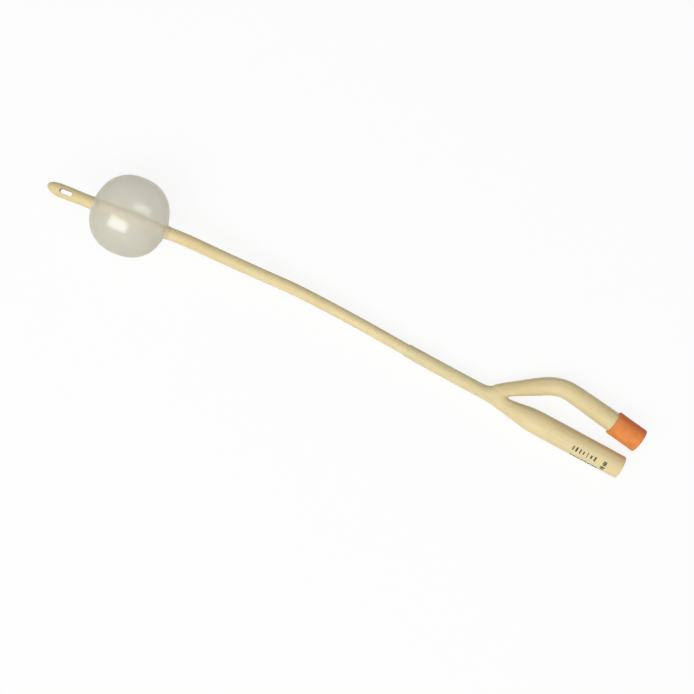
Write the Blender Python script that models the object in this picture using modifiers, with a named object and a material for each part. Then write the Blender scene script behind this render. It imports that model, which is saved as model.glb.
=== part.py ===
"""Two-way balloon catheter in dipped latex, 16 French, lying on a table with its balloon inflated.

Units are metres and +Z is up. While it is modelled, X runs along the drainage funnel towards its
mouth, x = 0 is at the fork, y = 0 is the funnel's axis and z = 0 is the table. The inflation arm
leaves on the +Y side. The finished catheter is then centred over the origin, standing on z = 0.
"""

import math

import bmesh
import bpy
from mathutils import Matrix, Vector
from mathutils.geometry import interpolate_bezier

MM = 0.001

# Tube: closed tip, straight front, gently bent shaft
TUBE_OUTER = 5.33 * MM
TUBE_FRONT_OUTER = 5.68 * MM
TIP_OUTER = 5.95 * MM
TIP_TAPER_LENGTH = 3.0 * MM
TIP_PARALLEL_LENGTH = 11.5 * MM
NOSE_LENGTH = 6.0 * MM
NOSE_END_RADIUS = 0.45 * MM
NOSE_OFFSET = 0.45 * MM
NOSE_STEPS = 7
FRONT_LENGTH = 60.6 * MM
FRONT_SWING_DEG = 6.9
FRONT_LIFT_DEG = 9.3
SHAFT_STEPS = 4
# Each bend of the shaft: how far behind the fork and to which side, in millimetres
SHAFT_BENDS = ((62, 1.62), (80, 1.65), (97, 1.3), (114, 0.0), (133, -1.3), (152.4, -2.68))
TUBE_SIDES = 28

# Lumens in the tube's wall
DRAIN_LUMEN = 3.1 * MM
DRAIN_LUMEN_OFFSET = 0.5 * MM
DRAIN_LUMEN_TIP_GAP = 3.6 * MM
INFLATION_LUMEN = 0.9 * MM
INFLATION_LUMEN_OFFSET = 1.85 * MM
INFLATION_LUMEN_PAST_PORT = 4.0 * MM
LUMEN_CLOCK_DEG = 30.0
DRAIN_LUMEN_SIDES = 20
INFLATION_LUMEN_SIDES = 10

# Openings cut through the tube's wall
EYE_LENGTH = 6.6 * MM
EYE_WIDTH = 2.3 * MM
EYE_FROM_TIP = 9.0 * MM
PORT_DIAMETER = 1.3 * MM
NOTCH_LENGTH = 3.2 * MM
NOTCH_FROM_FORK = 3.0 * MM

# Balloon
BALLOON_OUTER = 35.8 * MM
BALLOON_LENGTH = 33.8 * MM
BALLOON_FROM_TIP = 37.7 * MM
BALLOON_LEAN = 0.75 * MM
BALLOON_SQUARENESS = 2.25
BALLOON_WALL = 0.4 * MM
REAR_CUFF_LENGTH = 3.0 * MM
TIP_CUFF_LENGTH = 1.0 * MM
CUFF_WALL = 0.35 * MM
BALLOON_PROFILE_STEPS = 22
BALLOON_SIDES = 40

# Funnel body: neck, drainage funnel and inflation arm
NECK_OUTER = 6.2 * MM
NECK_MOUTH_OUTER = 5.95 * MM
NECK_MOUTH_TAPER = 9.0 * MM
NECK_LENGTH = 39.6 * MM
NECK_SIDESTEP = 0.9 * MM
NECK_MOUTH_DRIFT = 0.25 * MM
NECK_STRAIGHT_FROM = 18.0 * MM
NECK_STEPS = 5
SOCKET_DEPTH_PAST_FORK = 7.3 * MM
FUNNEL_OUTER = 10.9 * MM
FUNNEL_END_OUTER = 10.66 * MM
FUNNEL_TAPER_START = 12.0 * MM
FUNNEL_TAPER_START_OUTER = 7.0 * MM
FUNNEL_TAPER_END = 24.5 * MM
FUNNEL_LENGTH = 69.5 * MM
FUNNEL_WALL = 1.25 * MM
FUNNEL_THROAT_WALL = 1.6 * MM
ARM_ANGLE_DEG = 32.8
ARM_RETURN_DEG = 7.5
ARM_START_BEHIND_FORK = 1.1 * MM
ARM_TO_CORNER = 35.45 * MM
ARM_CORNER_TO_END = 43.1 * MM
ARM_BEND_RADIUS = 19.0 * MM
# The arm's outer diameter by distance along it, in millimetres
ARM_OUTERS = ((16, 6.8), (20, 7.4), (24, 8.05), (28, 8.35), (36, 8.3), (41, 8.55), (60, 9.5))
ARM_END_OUTER = ARM_OUTERS[-1][1] * MM
ARM_BORE_ROOT = 2.4 * MM
ARM_BORE_START = 1.0 * MM
ARM_BORE_SIDES = 24
ARM_WALL = 1.45 * MM
CROTCH_FROM_FORK = 9.4 * MM
# The oval rings of the fork: distance past it, lower edge and upper edge seen from above, in millimetres
FORK_RINGS = ((-1.5, -2.2, 3.98), (1.6, -2.25, 4.7), (4.6, -2.45, 8.15))
BODY_SUBDIVISIONS = 2

# Valve: soft plug in the end of the arm, held by a coloured ring
RING_OUTER = 11.3 * MM
RING_LENGTH = 14.4 * MM
RING_EDGE_ROUND = 0.3 * MM
PLUG_BODY = 6.3 * MM
PLUG_BODY_LENGTH = 11.0 * MM
PLUG_BILL_LENGTH = 3.4 * MM
PLUG_BILL_END = 3.0 * MM
PLUG_FLANGE_LENGTH = 1.3 * MM
LUER_MOUTH = 4.25 * MM
LUER_END = 3.9 * MM
LUER_DEPTH = 8.0 * MM
SLIT_LENGTH = 2.2 * MM
SLIT_WIDTH = 0.25 * MM
VALVE_SIDES = 32

# Clearances
BOND_GAP = 0.1 * MM
SEAT_GAP = 0.3 * MM
CUT_PAST = 2.0 * MM

# A ring of eight cage points subdivides to a circle this much smaller
CAGE_SIDES = 8
CAGE_SHRINK = (2 + math.cos(math.tau / CAGE_SIDES)) / 3

LATEX = (0.72, 0.60, 0.33, 1.0)
MEMBRANE = (0.62, 0.60, 0.52, 0.6)
ORANGE = (0.82, 0.27, 0.07, 1.0)
PLUG_WHITE = (0.78, 0.74, 0.64, 1.0)


def clear_scene():
    for obj in list(bpy.data.objects):
        bpy.data.objects.remove(obj, do_unlink=True)


def new_collection(name):
    collection = bpy.data.collections.new(name)
    bpy.context.scene.collection.children.link(collection)
    return collection


def material(name, colour, roughness, transmission=0.0):
    made = bpy.data.materials.new(name)
    made.use_nodes = True
    shader = made.node_tree.nodes["Principled BSDF"]
    shader.inputs["Base Color"].default_value = (*colour[:3], 1.0)
    shader.inputs["Roughness"].default_value = roughness
    shader.inputs["Metallic"].default_value = 0.0
    shader.inputs["Alpha"].default_value = colour[3]
    shader.inputs["Transmission Weight"].default_value = transmission
    made.diffuse_color = colour
    return made


def part(name, mesh, collection, finish):
    """An object of the catheter, shaded smooth with its edges kept."""
    obj = bpy.data.objects.new(name, mesh)
    collection.objects.link(obj)
    mesh.materials.clear()
    mesh.materials.append(finish)
    mesh.shade_smooth()
    mesh.set_sharp_from_angle(angle=math.radians(40))
    return obj


def cut(obj, cutter, solver="EXACT"):
    """Takes the cutter's shape out of obj."""
    boolean = obj.modifiers.new("cut_" + cutter.name, "BOOLEAN")
    boolean.operation = "DIFFERENCE"
    boolean.solver = solver
    boolean.object = cutter


def hide_cutter(obj):
    obj.hide_render = True
    obj.display_type = "WIRE"
    return obj


def mesh_from_bmesh(name, shape):
    mesh = bpy.data.meshes.new(name)
    bmesh.ops.recalc_face_normals(shape, faces=shape.faces)
    shape.to_mesh(mesh)
    shape.free()
    return mesh


def swept_mesh(name, stations, sides):
    """A round solid along stations of (point, radius), made from a bevelled curve with filled caps."""
    widest = max(radius for _, radius in stations)
    curve = bpy.data.curves.new(name, "CURVE")
    curve.dimensions = "3D"
    curve.bevel_depth = widest
    curve.bevel_resolution = (sides - 4) // 2
    curve.use_fill_caps = True
    spline = curve.splines.new("POLY")
    spline.points.add(len(stations) - 1)
    for point, (place, radius) in zip(spline.points, stations):
        point.co = (*place, 1.0)
        point.radius = radius / widest
    holder = bpy.data.objects.new(name, curve)
    bpy.context.scene.collection.objects.link(holder)
    graph = bpy.context.evaluated_depsgraph_get()
    mesh = bpy.data.meshes.new_from_object(holder.evaluated_get(graph))
    bpy.data.objects.remove(holder)
    bpy.data.curves.remove(curve)
    shape = bmesh.new()
    shape.from_mesh(mesh)
    bmesh.ops.remove_doubles(shape, verts=shape.verts, dist=1e-6)
    bmesh.ops.recalc_face_normals(shape, faces=shape.faces)
    shape.to_mesh(mesh)
    shape.free()
    return mesh


def swept_cutter(name, stations, sides, cutters):
    obj = bpy.data.objects.new(name, swept_mesh(name, stations, sides))
    cutters.objects.link(obj)
    return hide_cutter(obj)


def turned_object(name, profile, sides, collection, finish):
    """A closed profile of (radius, height), down its outer side and up its inner one, turned about Z."""
    mesh = bpy.data.meshes.new(name)
    count = len(profile)
    edges = [(i, (i + 1) % count) for i in range(count)]
    mesh.from_pydata([(radius, 0.0, height) for radius, height in profile], edges, [])
    obj = part(name, mesh, collection, finish)
    screw = obj.modifiers.new("turn", "SCREW")
    screw.axis = "Z"
    screw.steps = screw.render_steps = sides
    screw.use_merge_vertices = True
    screw.merge_threshold = 1e-6
    screw.use_smooth_shade = True
    return obj


def facing(origin, along, up=Vector((0, 0, 1))):
    """A matrix at origin whose local Z points along, with local X as near up as it can be."""
    z_axis = along.normalized()
    x_axis = (up - up.dot(z_axis) * z_axis).normalized()
    y_axis = z_axis.cross(x_axis)
    turn = Matrix((x_axis, y_axis, z_axis)).transposed().to_4x4()
    return Matrix.Translation(origin) @ turn


# Where things lie

AXIS_HEIGHT = FUNNEL_OUTER / 2
RING_AXIS_HEIGHT = RING_OUTER / 2
NECK_MOUTH = Vector((-NECK_LENGTH, NECK_SIDESTEP + NECK_MOUTH_DRIFT, AXIS_HEIGHT))
TUBE_END = Vector((SOCKET_DEPTH_PAST_FORK - SEAT_GAP, NECK_SIDESTEP, AXIS_HEIGHT))


def neck_axis_at(x):
    """The neck's axis, straight by the fork and drifting a little to the side by its mouth."""
    share = max(0.0, (-x - NECK_STRAIGHT_FROM) / (NECK_LENGTH - NECK_STRAIGHT_FROM))
    return Vector((x, NECK_SIDESTEP + NECK_MOUTH_DRIFT * share**2, AXIS_HEIGHT))


def neck_points():
    """The neck's axis from its mouth to where it runs straight."""
    length = NECK_LENGTH - NECK_STRAIGHT_FROM
    return [neck_axis_at(-NECK_LENGTH + length * i / NECK_STEPS) for i in range(NECK_STEPS + 1)]


def front_direction():
    """The way the straight front of the tube points, out towards the tip."""
    swing, lift = math.radians(FRONT_SWING_DEG), math.radians(FRONT_LIFT_DEG)
    return Vector((-math.cos(lift) * math.cos(swing), -math.cos(lift) * math.sin(swing), math.sin(lift)))


def balloon_half_height():
    """How far the tilted balloon reaches below its own centre."""
    lift = math.radians(FRONT_LIFT_DEG)
    return math.hypot(BALLOON_OUTER / 2 * math.cos(lift), BALLOON_LENGTH / 2 * math.sin(lift))


def front_root():
    """Where the straight front begins, at the height that puts the balloon on the table."""
    behind, side = SHAFT_BENDS[-1]
    balloon_along = FRONT_LENGTH - BALLOON_FROM_TIP
    height = balloon_half_height() - balloon_along * front_direction().z
    return Vector((-behind * MM, side * MM, height))


def front_point(from_tip):
    """A point on the front's axis, by its distance back from the tip."""
    return front_root() + front_direction() * (FRONT_LENGTH - from_tip)


def shaft_knots():
    """The shaft's axis at the neck's mouth and at each bend. It rises evenly to meet the front."""
    root = front_root()
    span = NECK_MOUTH.x - root.x
    climb = math.tan(math.radians(FRONT_LIFT_DEG)) * span
    knots = [NECK_MOUTH.copy()]
    for behind, side in SHAFT_BENDS:
        share = (NECK_MOUTH.x + behind * MM) / span
        rise = (root.z - AXIS_HEIGHT) * (3 - 2 * share) * share**2 + climb * (share - 1) * share**2
        knots.append(Vector((-behind * MM, side * MM, AXIS_HEIGHT + rise)))
    return knots


def shaft_points():
    """The shaft's axis as a smooth run of points, from the straight front to the neck's mouth."""
    knots = shaft_knots()
    ways = [(neck_points()[0] - neck_points()[1]).normalized()]
    ways += [(after - before).normalized() for before, after in zip(knots, knots[2:])]
    ways.append(front_direction())
    points = [knots[0]]
    for i in range(len(knots) - 1):
        start, end = knots[i], knots[i + 1]
        pull = (end - start).length / 3
        leave, arrive = start + ways[i] * pull, end - ways[i + 1] * pull
        points += interpolate_bezier(start, leave, arrive, end, SHAFT_STEPS + 1)[1:]
    return points[::-1] + neck_points()[1:]


def lumen_shift(direction, amount):
    """A shift across the tube towards the side where the inflation lumen runs."""
    clock = math.radians(LUMEN_CLOCK_DEG)
    forward = direction.normalized()
    side = Vector((0, 0, 1)).cross(forward).normalized()
    if side.y < 0:
        side.negate()
    up = forward.cross(side)
    if up.z < 0:
        up.negate()
    return (side * math.cos(clock) + up * math.sin(clock)) * amount


# Tube

def nose_stations():
    """(distance back from the tip, radius, lean) of the closed nose: half an oval whose apex leans over."""
    stations = []
    for i in range(NOSE_STEPS + 1):
        angle = math.radians(90) * i / NOSE_STEPS
        reach = NOSE_LENGTH * (1 - math.cos(angle))
        radius = max(NOSE_END_RADIUS, TIP_OUTER / 2 * math.sin(angle))
        stations.append((reach, radius, NOSE_OFFSET * math.cos(angle) ** 2))
    return stations


def tube_stations():
    """The tube's outside, from its tip to its end inside the funnel body."""
    side = Vector((0, 0, 1)).cross(-front_direction()).normalized()
    stations = [(front_point(reach) + side * lean, radius) for reach, radius, lean in nose_stations()]
    taper_end = TIP_PARALLEL_LENGTH + TIP_TAPER_LENGTH
    stations.append((front_point(TIP_PARALLEL_LENGTH), TIP_OUTER / 2))
    stations.append((front_point(taper_end), TUBE_FRONT_OUTER / 2))
    shaft = shaft_points()
    for i, place in enumerate(shaft):
        share = min(1.0, 2.0 * i / len(shaft))
        outer = TUBE_FRONT_OUTER + (TUBE_OUTER - TUBE_FRONT_OUTER) * share
        stations.append((place, outer / 2))
    stations.append((TUBE_END, TUBE_OUTER / 2))
    return stations


def drain_lumen_stations():
    """The main lumen, open at the tube's end and closed short of the tip."""
    shift_front = lumen_shift(front_direction(), -DRAIN_LUMEN_OFFSET)
    stations = [(front_point(DRAIN_LUMEN_TIP_GAP) + shift_front, DRAIN_LUMEN / 2)]
    shaft = shaft_points()
    for i, place in enumerate(shaft):
        ahead = shaft[min(i + 1, len(shaft) - 1)] - shaft[max(i - 1, 0)]
        stations.append((place + lumen_shift(ahead, -DRAIN_LUMEN_OFFSET), DRAIN_LUMEN / 2))
    end_shift = lumen_shift(Vector((1, 0, 0)), -DRAIN_LUMEN_OFFSET)
    stations.append((TUBE_END + Vector((CUT_PAST, 0, 0)) + end_shift, DRAIN_LUMEN / 2))
    return stations


def inflation_lumen_stations():
    """The small lumen, from just past the balloon's port to just past the notch at the fork."""
    radius = INFLATION_LUMEN / 2
    front_end = front_point(BALLOON_FROM_TIP - INFLATION_LUMEN_PAST_PORT)
    stations = [(front_end + lumen_shift(front_direction(), INFLATION_LUMEN_OFFSET), radius)]
    shaft = shaft_points()
    for i, place in enumerate(shaft):
        ahead = shaft[min(i + 1, len(shaft) - 1)] - shaft[max(i - 1, 0)]
        stations.append((place + lumen_shift(ahead, INFLATION_LUMEN_OFFSET), radius))
    rear_end = Vector((NOTCH_FROM_FORK + NOTCH_LENGTH / 2, NECK_SIDESTEP, AXIS_HEIGHT))
    stations.append((rear_end + lumen_shift(Vector((1, 0, 0)), INFLATION_LUMEN_OFFSET), radius))
    return stations


def slot_cutter(name, placing, length, width, height, cutters):
    """A round-ended slot: a flat outline extruded both ways along its local Z, long along local Y."""
    curve = bpy.data.curves.new(name, "CURVE")
    curve.dimensions = "2D"
    curve.fill_mode = "BOTH"
    curve.extrude = height / 2
    curve.resolution_u = 1
    spline = curve.splines.new("POLY")
    end_steps = 8
    outline = []
    for end in (1, -1):
        for i in range(end_steps + 1):
            angle = math.pi * i / end_steps + (0 if end > 0 else math.pi)
            straight = end * (length - width) / 2
            outline.append((width / 2 * math.cos(angle), straight + width / 2 * math.sin(angle)))
    spline.points.add(len(outline) - 1)
    for point, (x, y) in zip(spline.points, outline):
        point.co = (x, y, 0, 1)
    spline.use_cyclic_u = True
    holder = bpy.data.objects.new(name, curve)
    bpy.context.scene.collection.objects.link(holder)
    graph = bpy.context.evaluated_depsgraph_get()
    mesh = bpy.data.meshes.new_from_object(holder.evaluated_get(graph))
    bpy.data.objects.remove(holder)
    bpy.data.curves.remove(curve)
    shape = bmesh.new()
    shape.from_mesh(mesh)
    bmesh.ops.remove_doubles(shape, verts=shape.verts, dist=1e-6)
    mesh = mesh_from_bmesh(name, shape)
    obj = bpy.data.objects.new(name, mesh)
    obj.matrix_world = placing
    cutters.objects.link(obj)
    return hide_cutter(obj)


def round_cutter(name, placing, radius, depth, sides, cutters):
    """A cylinder from its origin out along local Z."""
    shape = bmesh.new()
    bmesh.ops.create_cone(
        shape, cap_ends=True, segments=sides, radius1=radius, radius2=radius, depth=depth,
        matrix=Matrix.Translation((0, 0, depth / 2)),
    )
    obj = bpy.data.objects.new(name, mesh_from_bmesh(name, shape))
    obj.matrix_world = placing
    cutters.objects.link(obj)
    return hide_cutter(obj)


def make_tube(parts, cutters, finish):
    tube = part("catheter_tube", swept_mesh("catheter_tube", tube_stations(), TUBE_SIDES), parts, finish)
    cut(tube, swept_cutter("drain_lumen", drain_lumen_stations(), DRAIN_LUMEN_SIDES, cutters))
    inflation = swept_cutter("inflation_lumen", inflation_lumen_stations(), INFLATION_LUMEN_SIDES, cutters)
    cut(tube, inflation)

    along = front_direction()
    upward = Vector((0, 0, 1))
    eye_axis = (upward - upward.dot(along) * along).normalized()
    eye = facing(front_point(EYE_FROM_TIP), eye_axis, along.cross(eye_axis))
    cut(tube, slot_cutter("drain_eyes", eye, EYE_LENGTH, EYE_WIDTH, TIP_OUTER + CUT_PAST, cutters))

    port_way = lumen_shift(along, 1.0)
    port_root = front_point(BALLOON_FROM_TIP) + port_way * INFLATION_LUMEN_OFFSET
    port = facing(port_root, port_way, along)
    cut(tube, round_cutter("balloon_port", port, PORT_DIAMETER / 2, TUBE_FRONT_OUTER / 2, 14, cutters))

    notch_way = lumen_shift(Vector((1, 0, 0)), 1.0)
    notch_root = Vector((NOTCH_FROM_FORK, NECK_SIDESTEP, AXIS_HEIGHT)) + notch_way * TUBE_OUTER / 2
    notch = facing(notch_root, notch_way, notch_way.cross(Vector((1, 0, 0))))
    depth = TUBE_OUTER - 2 * INFLATION_LUMEN_OFFSET
    cut(tube, slot_cutter("inflation_notch", notch, NOTCH_LENGTH, INFLATION_LUMEN, depth, cutters))
    return tube


# Balloon

def oval_point(half_length, half_width, angle):
    """A point of the balloon's squared oval, as (radius, distance along its axis)."""
    power = 2 / BALLOON_SQUARENESS
    along = math.copysign(abs(math.cos(angle)) ** power, math.cos(angle)) * half_length
    return half_width * math.sin(angle) ** power, along


def balloon_wall_line(half_length, half_width, neck_radius):
    """The wall from the top cuff round to the bottom one, at even steps of angle."""
    power = 2 / BALLOON_SQUARENESS
    first = math.asin((neck_radius / half_width) ** (1 / power))
    angles = [
        first + (math.pi - 2 * first) * i / BALLOON_PROFILE_STEPS for i in range(BALLOON_PROFILE_STEPS + 1)
    ]
    return [oval_point(half_length, half_width, angle) for angle in angles]


def make_balloon(parts, finish):
    """A thin turned wall that leans a little to one side, with a cuff at each end gripping the tube."""
    inner_neck = TUBE_FRONT_OUTER / 2 + BOND_GAP
    outer_neck = inner_neck + CUFF_WALL
    half_length, half_width = BALLOON_LENGTH / 2, BALLOON_OUTER / 2
    outside = balloon_wall_line(half_length, half_width, outer_neck)
    inside = balloon_wall_line(half_length - BALLOON_WALL, half_width - BALLOON_WALL, inner_neck)
    tip_end, rear_end = half_length + TIP_CUFF_LENGTH, -half_length - REAR_CUFF_LENGTH
    profile = [(outer_neck, tip_end), *outside, (outer_neck, rear_end)]
    profile += [(inner_neck, rear_end), *reversed(inside), (inner_neck, tip_end)]
    turned = turned_object("balloon_form", profile, BALLOON_SIDES, parts, finish)
    graph = bpy.context.evaluated_depsgraph_get()
    mesh = bpy.data.meshes.new_from_object(turned.evaluated_get(graph))
    bpy.data.objects.remove(turned)
    for vert in mesh.vertices:
        share = (math.hypot(vert.co.x, vert.co.y) - outer_neck) / (half_width - outer_neck)
        vert.co.y += BALLOON_LEAN * max(0.0, share)
    balloon = part("balloon", mesh, parts, finish)
    balloon.matrix_world = facing(front_point(BALLOON_FROM_TIP), front_direction())
    return balloon


# Funnel body

def arm_point(distance):
    """(centre, direction) on the inflation arm's axis, by distance from where it leaves the neck's axis."""
    out, back = math.radians(ARM_ANGLE_DEG), math.radians(ARM_RETURN_DEG)
    turn = out + back
    start = Vector((-ARM_START_BEHIND_FORK, NECK_SIDESTEP, 0))
    first = Vector((math.cos(out), math.sin(out), 0))
    second = Vector((math.cos(back), -math.sin(back), 0))
    tangent = ARM_BEND_RADIUS * math.tan(turn / 2)
    bend_start = ARM_TO_CORNER - tangent
    bend_length = ARM_BEND_RADIUS * turn
    if distance <= bend_start:
        place, way = start + first * distance, first
    elif distance <= bend_start + bend_length:
        angle = (distance - bend_start) / ARM_BEND_RADIUS
        centre = start + first * bend_start + Vector((math.sin(out), -math.cos(out), 0)) * ARM_BEND_RADIUS
        heading = out - angle
        place = centre + Vector((-math.sin(heading), math.cos(heading), 0)) * ARM_BEND_RADIUS
        way = Vector((math.cos(heading), math.sin(heading), 0))
    else:
        corner = start + first * ARM_TO_CORNER
        place = corner + second * (tangent + distance - bend_start - bend_length)
        way = second
    share = (distance - arm_root_length()) / (bend_start + bend_length - arm_root_length())
    share = min(1.0, max(0.0, share))
    ease = share * share * (3 - 2 * share)
    place.z = AXIS_HEIGHT + (RING_AXIS_HEIGHT - AXIS_HEIGHT) * ease
    return place, way


def arm_root_length():
    """How far out the arm has come clear of the funnel."""
    return (CROTCH_FROM_FORK + 3.2 * MM + ARM_START_BEHIND_FORK) / math.cos(math.radians(ARM_ANGLE_DEG))


def arm_length():
    turn = math.radians(ARM_ANGLE_DEG + ARM_RETURN_DEG)
    tangent = ARM_BEND_RADIUS * math.tan(turn / 2)
    return ARM_TO_CORNER + ARM_CORNER_TO_END - 2 * tangent + ARM_BEND_RADIUS * turn


def arm_bend_middle():
    turn = math.radians(ARM_ANGLE_DEG + ARM_RETURN_DEG)
    return ARM_TO_CORNER - ARM_BEND_RADIUS * math.tan(turn / 2) + ARM_BEND_RADIUS * turn / 2


def arm_outer_radius(distance):
    """The arm swells to its bend and on to its end, where the ring grips a parallel stretch."""
    if distance >= ARM_OUTERS[-1][0] * MM:
        return ARM_END_OUTER / 2
    for (start, outer), (end, next_outer) in zip(ARM_OUTERS, ARM_OUTERS[1:]):
        if distance <= end * MM:
            share = max(0.0, (distance / MM - start) / (end - start))
            return (outer + (next_outer - outer) * share) * MM / 2


def cage_ring(shape, centre, way, half_width, half_height=None):
    """Eight cage points round centre, the first on the left of the way it runs, then over the top."""
    half_height = half_width if half_height is None else half_height
    left = Vector((0, 0, 1)).cross(way).normalized()
    ring = []
    for k in range(CAGE_SIDES):
        angle = math.tau * k / CAGE_SIDES
        across = left * math.cos(angle) * half_width / CAGE_SHRINK
        upward = Vector((0, 0, math.sin(angle) * half_height / CAGE_SHRINK))
        ring.append(shape.verts.new(centre + across + upward))
    return ring


def skin_rings(shape, first, second):
    count = len(first)
    for k in range(count):
        n = (k + 1) % count
        shape.faces.new((first[k], first[n], second[n], second[k]))


def limb(shape, first_ring, rings):
    """Skins a run of rings and closes its last one with a creased flat end."""
    previous = first_ring
    for ring in rings:
        skin_rings(shape, previous, ring)
        previous = ring
    return previous


def close_end(shape, ring, outwards):
    """A flat end face, with its rim kept sharp when the cage is subdivided."""
    shape.faces.new(ring if outwards else list(reversed(ring)))
    crease = shape.edges.layers.float.get("crease_edge") or shape.edges.layers.float.new("crease_edge")
    for k, vert in enumerate(ring):
        edge = shape.edges.get((vert, ring[(k + 1) % len(ring)]))
        edge[crease] = 1.0


def funnel_ring(shape, x, outer):
    return cage_ring(shape, Vector((x, 0, AXIS_HEIGHT)), Vector((1, 0, 0)), outer / 2)


def fork_rings(shape):
    """The oval rings where the neck widens into the fork, from the neck on."""
    rings = []
    for past, low, high in FORK_RINGS:
        centre = Vector((past * MM, (low + high) / 2 * MM, AXIS_HEIGHT))
        rings.append(cage_ring(shape, centre, Vector((1, 0, 0)), (high - low) / 2 * MM, NECK_OUTER / 2))
    return rings


def make_body_cage():
    """A neck that splits into the drainage funnel and the inflation arm, as a cage of eight-sided rings."""
    shape = bmesh.new()
    ahead = Vector((1, 0, 0))
    mouth = cage_ring(shape, NECK_MOUTH, ahead, NECK_MOUTH_OUTER / 2)
    rest = [NECK_MOUTH_TAPER - NECK_LENGTH, (NECK_MOUTH_TAPER - NECK_LENGTH - NECK_STRAIGHT_FROM) / 2]
    rest += [-NECK_STRAIGHT_FROM, -6 * MM]
    neck = [cage_ring(shape, neck_axis_at(x), ahead, NECK_OUTER / 2) for x in rest]
    trunk = limb(shape, mouth, [*neck, *fork_rings(shape)])

    middle_outer = (FUNNEL_TAPER_START_OUTER + FUNNEL_OUTER) / 2
    funnel = [
        funnel_ring(shape, FUNNEL_TAPER_START, FUNNEL_TAPER_START_OUTER),
        funnel_ring(shape, (FUNNEL_TAPER_START + FUNNEL_TAPER_END) / 2, middle_outer),
        funnel_ring(shape, FUNNEL_TAPER_END - 1.5 * MM, FUNNEL_OUTER - 0.4 * MM),
        funnel_ring(shape, FUNNEL_TAPER_END + 1.5 * MM, FUNNEL_OUTER),
        funnel_ring(shape, (FUNNEL_TAPER_END + FUNNEL_LENGTH) / 2, FUNNEL_OUTER),
        funnel_ring(shape, FUNNEL_LENGTH - 6 * MM, FUNNEL_END_OUTER),
        funnel_ring(shape, FUNNEL_LENGTH, FUNNEL_END_OUTER),
    ]
    root, bend, end = arm_root_length(), arm_bend_middle(), arm_length()
    grip = end - RING_LENGTH
    distances = [root, (root + bend) / 2 - 4 * MM, bend - 9 * MM]
    distances += [bend - 5 * MM, bend - 2 * MM, bend + 2 * MM, bend + 5 * MM]
    distances += [(bend + grip) / 2, grip, grip + 2 * MM, end - 2 * MM, end - PLUG_FLANGE_LENGTH]
    arm = [cage_ring(shape, *arm_point(d), arm_outer_radius(d)) for d in distances]

    crotch_y = FUNNEL_TAPER_START_OUTER / 2 + 0.7 * MM
    crotch = []
    for rise in (1, 0, -1):
        back = 2.6 * MM * abs(rise)
        height = AXIS_HEIGHT + rise * NECK_OUTER / 2 * 0.8
        place = Vector((CROTCH_FROM_FORK + 0.9 * MM - back, crotch_y, height))
        crotch.append(shape.verts.new(place))
    top, middle, bottom = crotch
    arm_first, funnel_first = arm[0], funnel[0]
    arm_root_ring = [trunk[0], trunk[1], trunk[2], top, middle, bottom, trunk[6], trunk[7]]
    funnel_root_ring = [middle, top, trunk[2], trunk[3], trunk[4], trunk[5], trunk[6], bottom]
    skin_rings(shape, arm_root_ring, arm_first)
    skin_rings(shape, funnel_root_ring, funnel_first)
    limb(shape, arm_first, arm[1:])
    limb(shape, funnel_first, funnel[1:])
    close_end(shape, mouth, True)
    close_end(shape, funnel[-1], False)
    close_end(shape, arm[-1], False)
    return mesh_from_bmesh("funnel_body", shape)


def funnel_bore_stations():
    """The drainage bore, from the tube's lumen out to the funnel's mouth."""
    shift = lumen_shift(Vector((1, 0, 0)), -DRAIN_LUMEN_OFFSET)
    seat = TUBE_END + shift
    axis = Vector((0, 0, AXIS_HEIGHT))
    throat = FUNNEL_TAPER_START_OUTER / 2 - FUNNEL_THROAT_WALL
    wide = FUNNEL_OUTER / 2 - FUNNEL_THROAT_WALL
    mouth = FUNNEL_END_OUTER / 2 - FUNNEL_WALL
    return [
        (seat - Vector((CUT_PAST, 0, 0)), DRAIN_LUMEN / 2),
        (seat + Vector((SEAT_GAP, 0, 0)), DRAIN_LUMEN / 2),
        (axis + Vector((FUNNEL_TAPER_START, 0, 0)), throat),
        (axis + Vector((FUNNEL_TAPER_END, 0, 0)), wide),
        (axis + Vector((FUNNEL_LENGTH, 0, 0)), mouth),
        (axis + Vector((FUNNEL_LENGTH + CUT_PAST, 0, 0)), mouth),
    ]


def arm_bore_stations():
    """The air way, from the neck's socket along the arm, ending in the plug's parallel seat."""
    seat_start = arm_length() - PLUG_FLANGE_LENGTH - PLUG_BODY_LENGTH - PLUG_BILL_LENGTH
    seat_radius = PLUG_BODY / 2 + BOND_GAP
    root = arm_root_length()
    stations = [(arm_point(ARM_BORE_START)[0], ARM_BORE_ROOT / 2)]
    stations.append((arm_point(root - 4 * MM)[0], ARM_BORE_ROOT / 2))
    steps = 14
    for i in range(steps + 1):
        distance = root + (seat_start - root) * i / steps
        radius = min(seat_radius, arm_outer_radius(distance) - ARM_WALL)
        stations.append((arm_point(distance)[0], radius))
    stations.append((arm_point(arm_length() + CUT_PAST)[0], seat_radius))
    return stations


def make_body(parts, cutters, finish):
    body = part("funnel_body", make_body_cage(), parts, finish)
    smooth = body.modifiers.new("dipped_skin", "SUBSURF")
    smooth.levels = smooth.render_levels = BODY_SUBDIVISIONS
    mouth, inside = neck_points()[:2]
    socket_end = Vector((SOCKET_DEPTH_PAST_FORK, NECK_SIDESTEP, AXIS_HEIGHT))
    socket_axis = [mouth + (mouth - inside).normalized() * CUT_PAST, *neck_points(), socket_end]
    socket_radius = TUBE_OUTER / 2 + BOND_GAP
    cut(body, swept_cutter("arm_bore", arm_bore_stations(), ARM_BORE_SIDES, cutters))
    cut(body, swept_cutter("funnel_bore", funnel_bore_stations(), TUBE_SIDES, cutters))
    socket = [(place, socket_radius) for place in socket_axis]
    cut(body, swept_cutter("tube_socket", socket, TUBE_SIDES, cutters), "MANIFOLD")
    return body


# Valve

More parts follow.
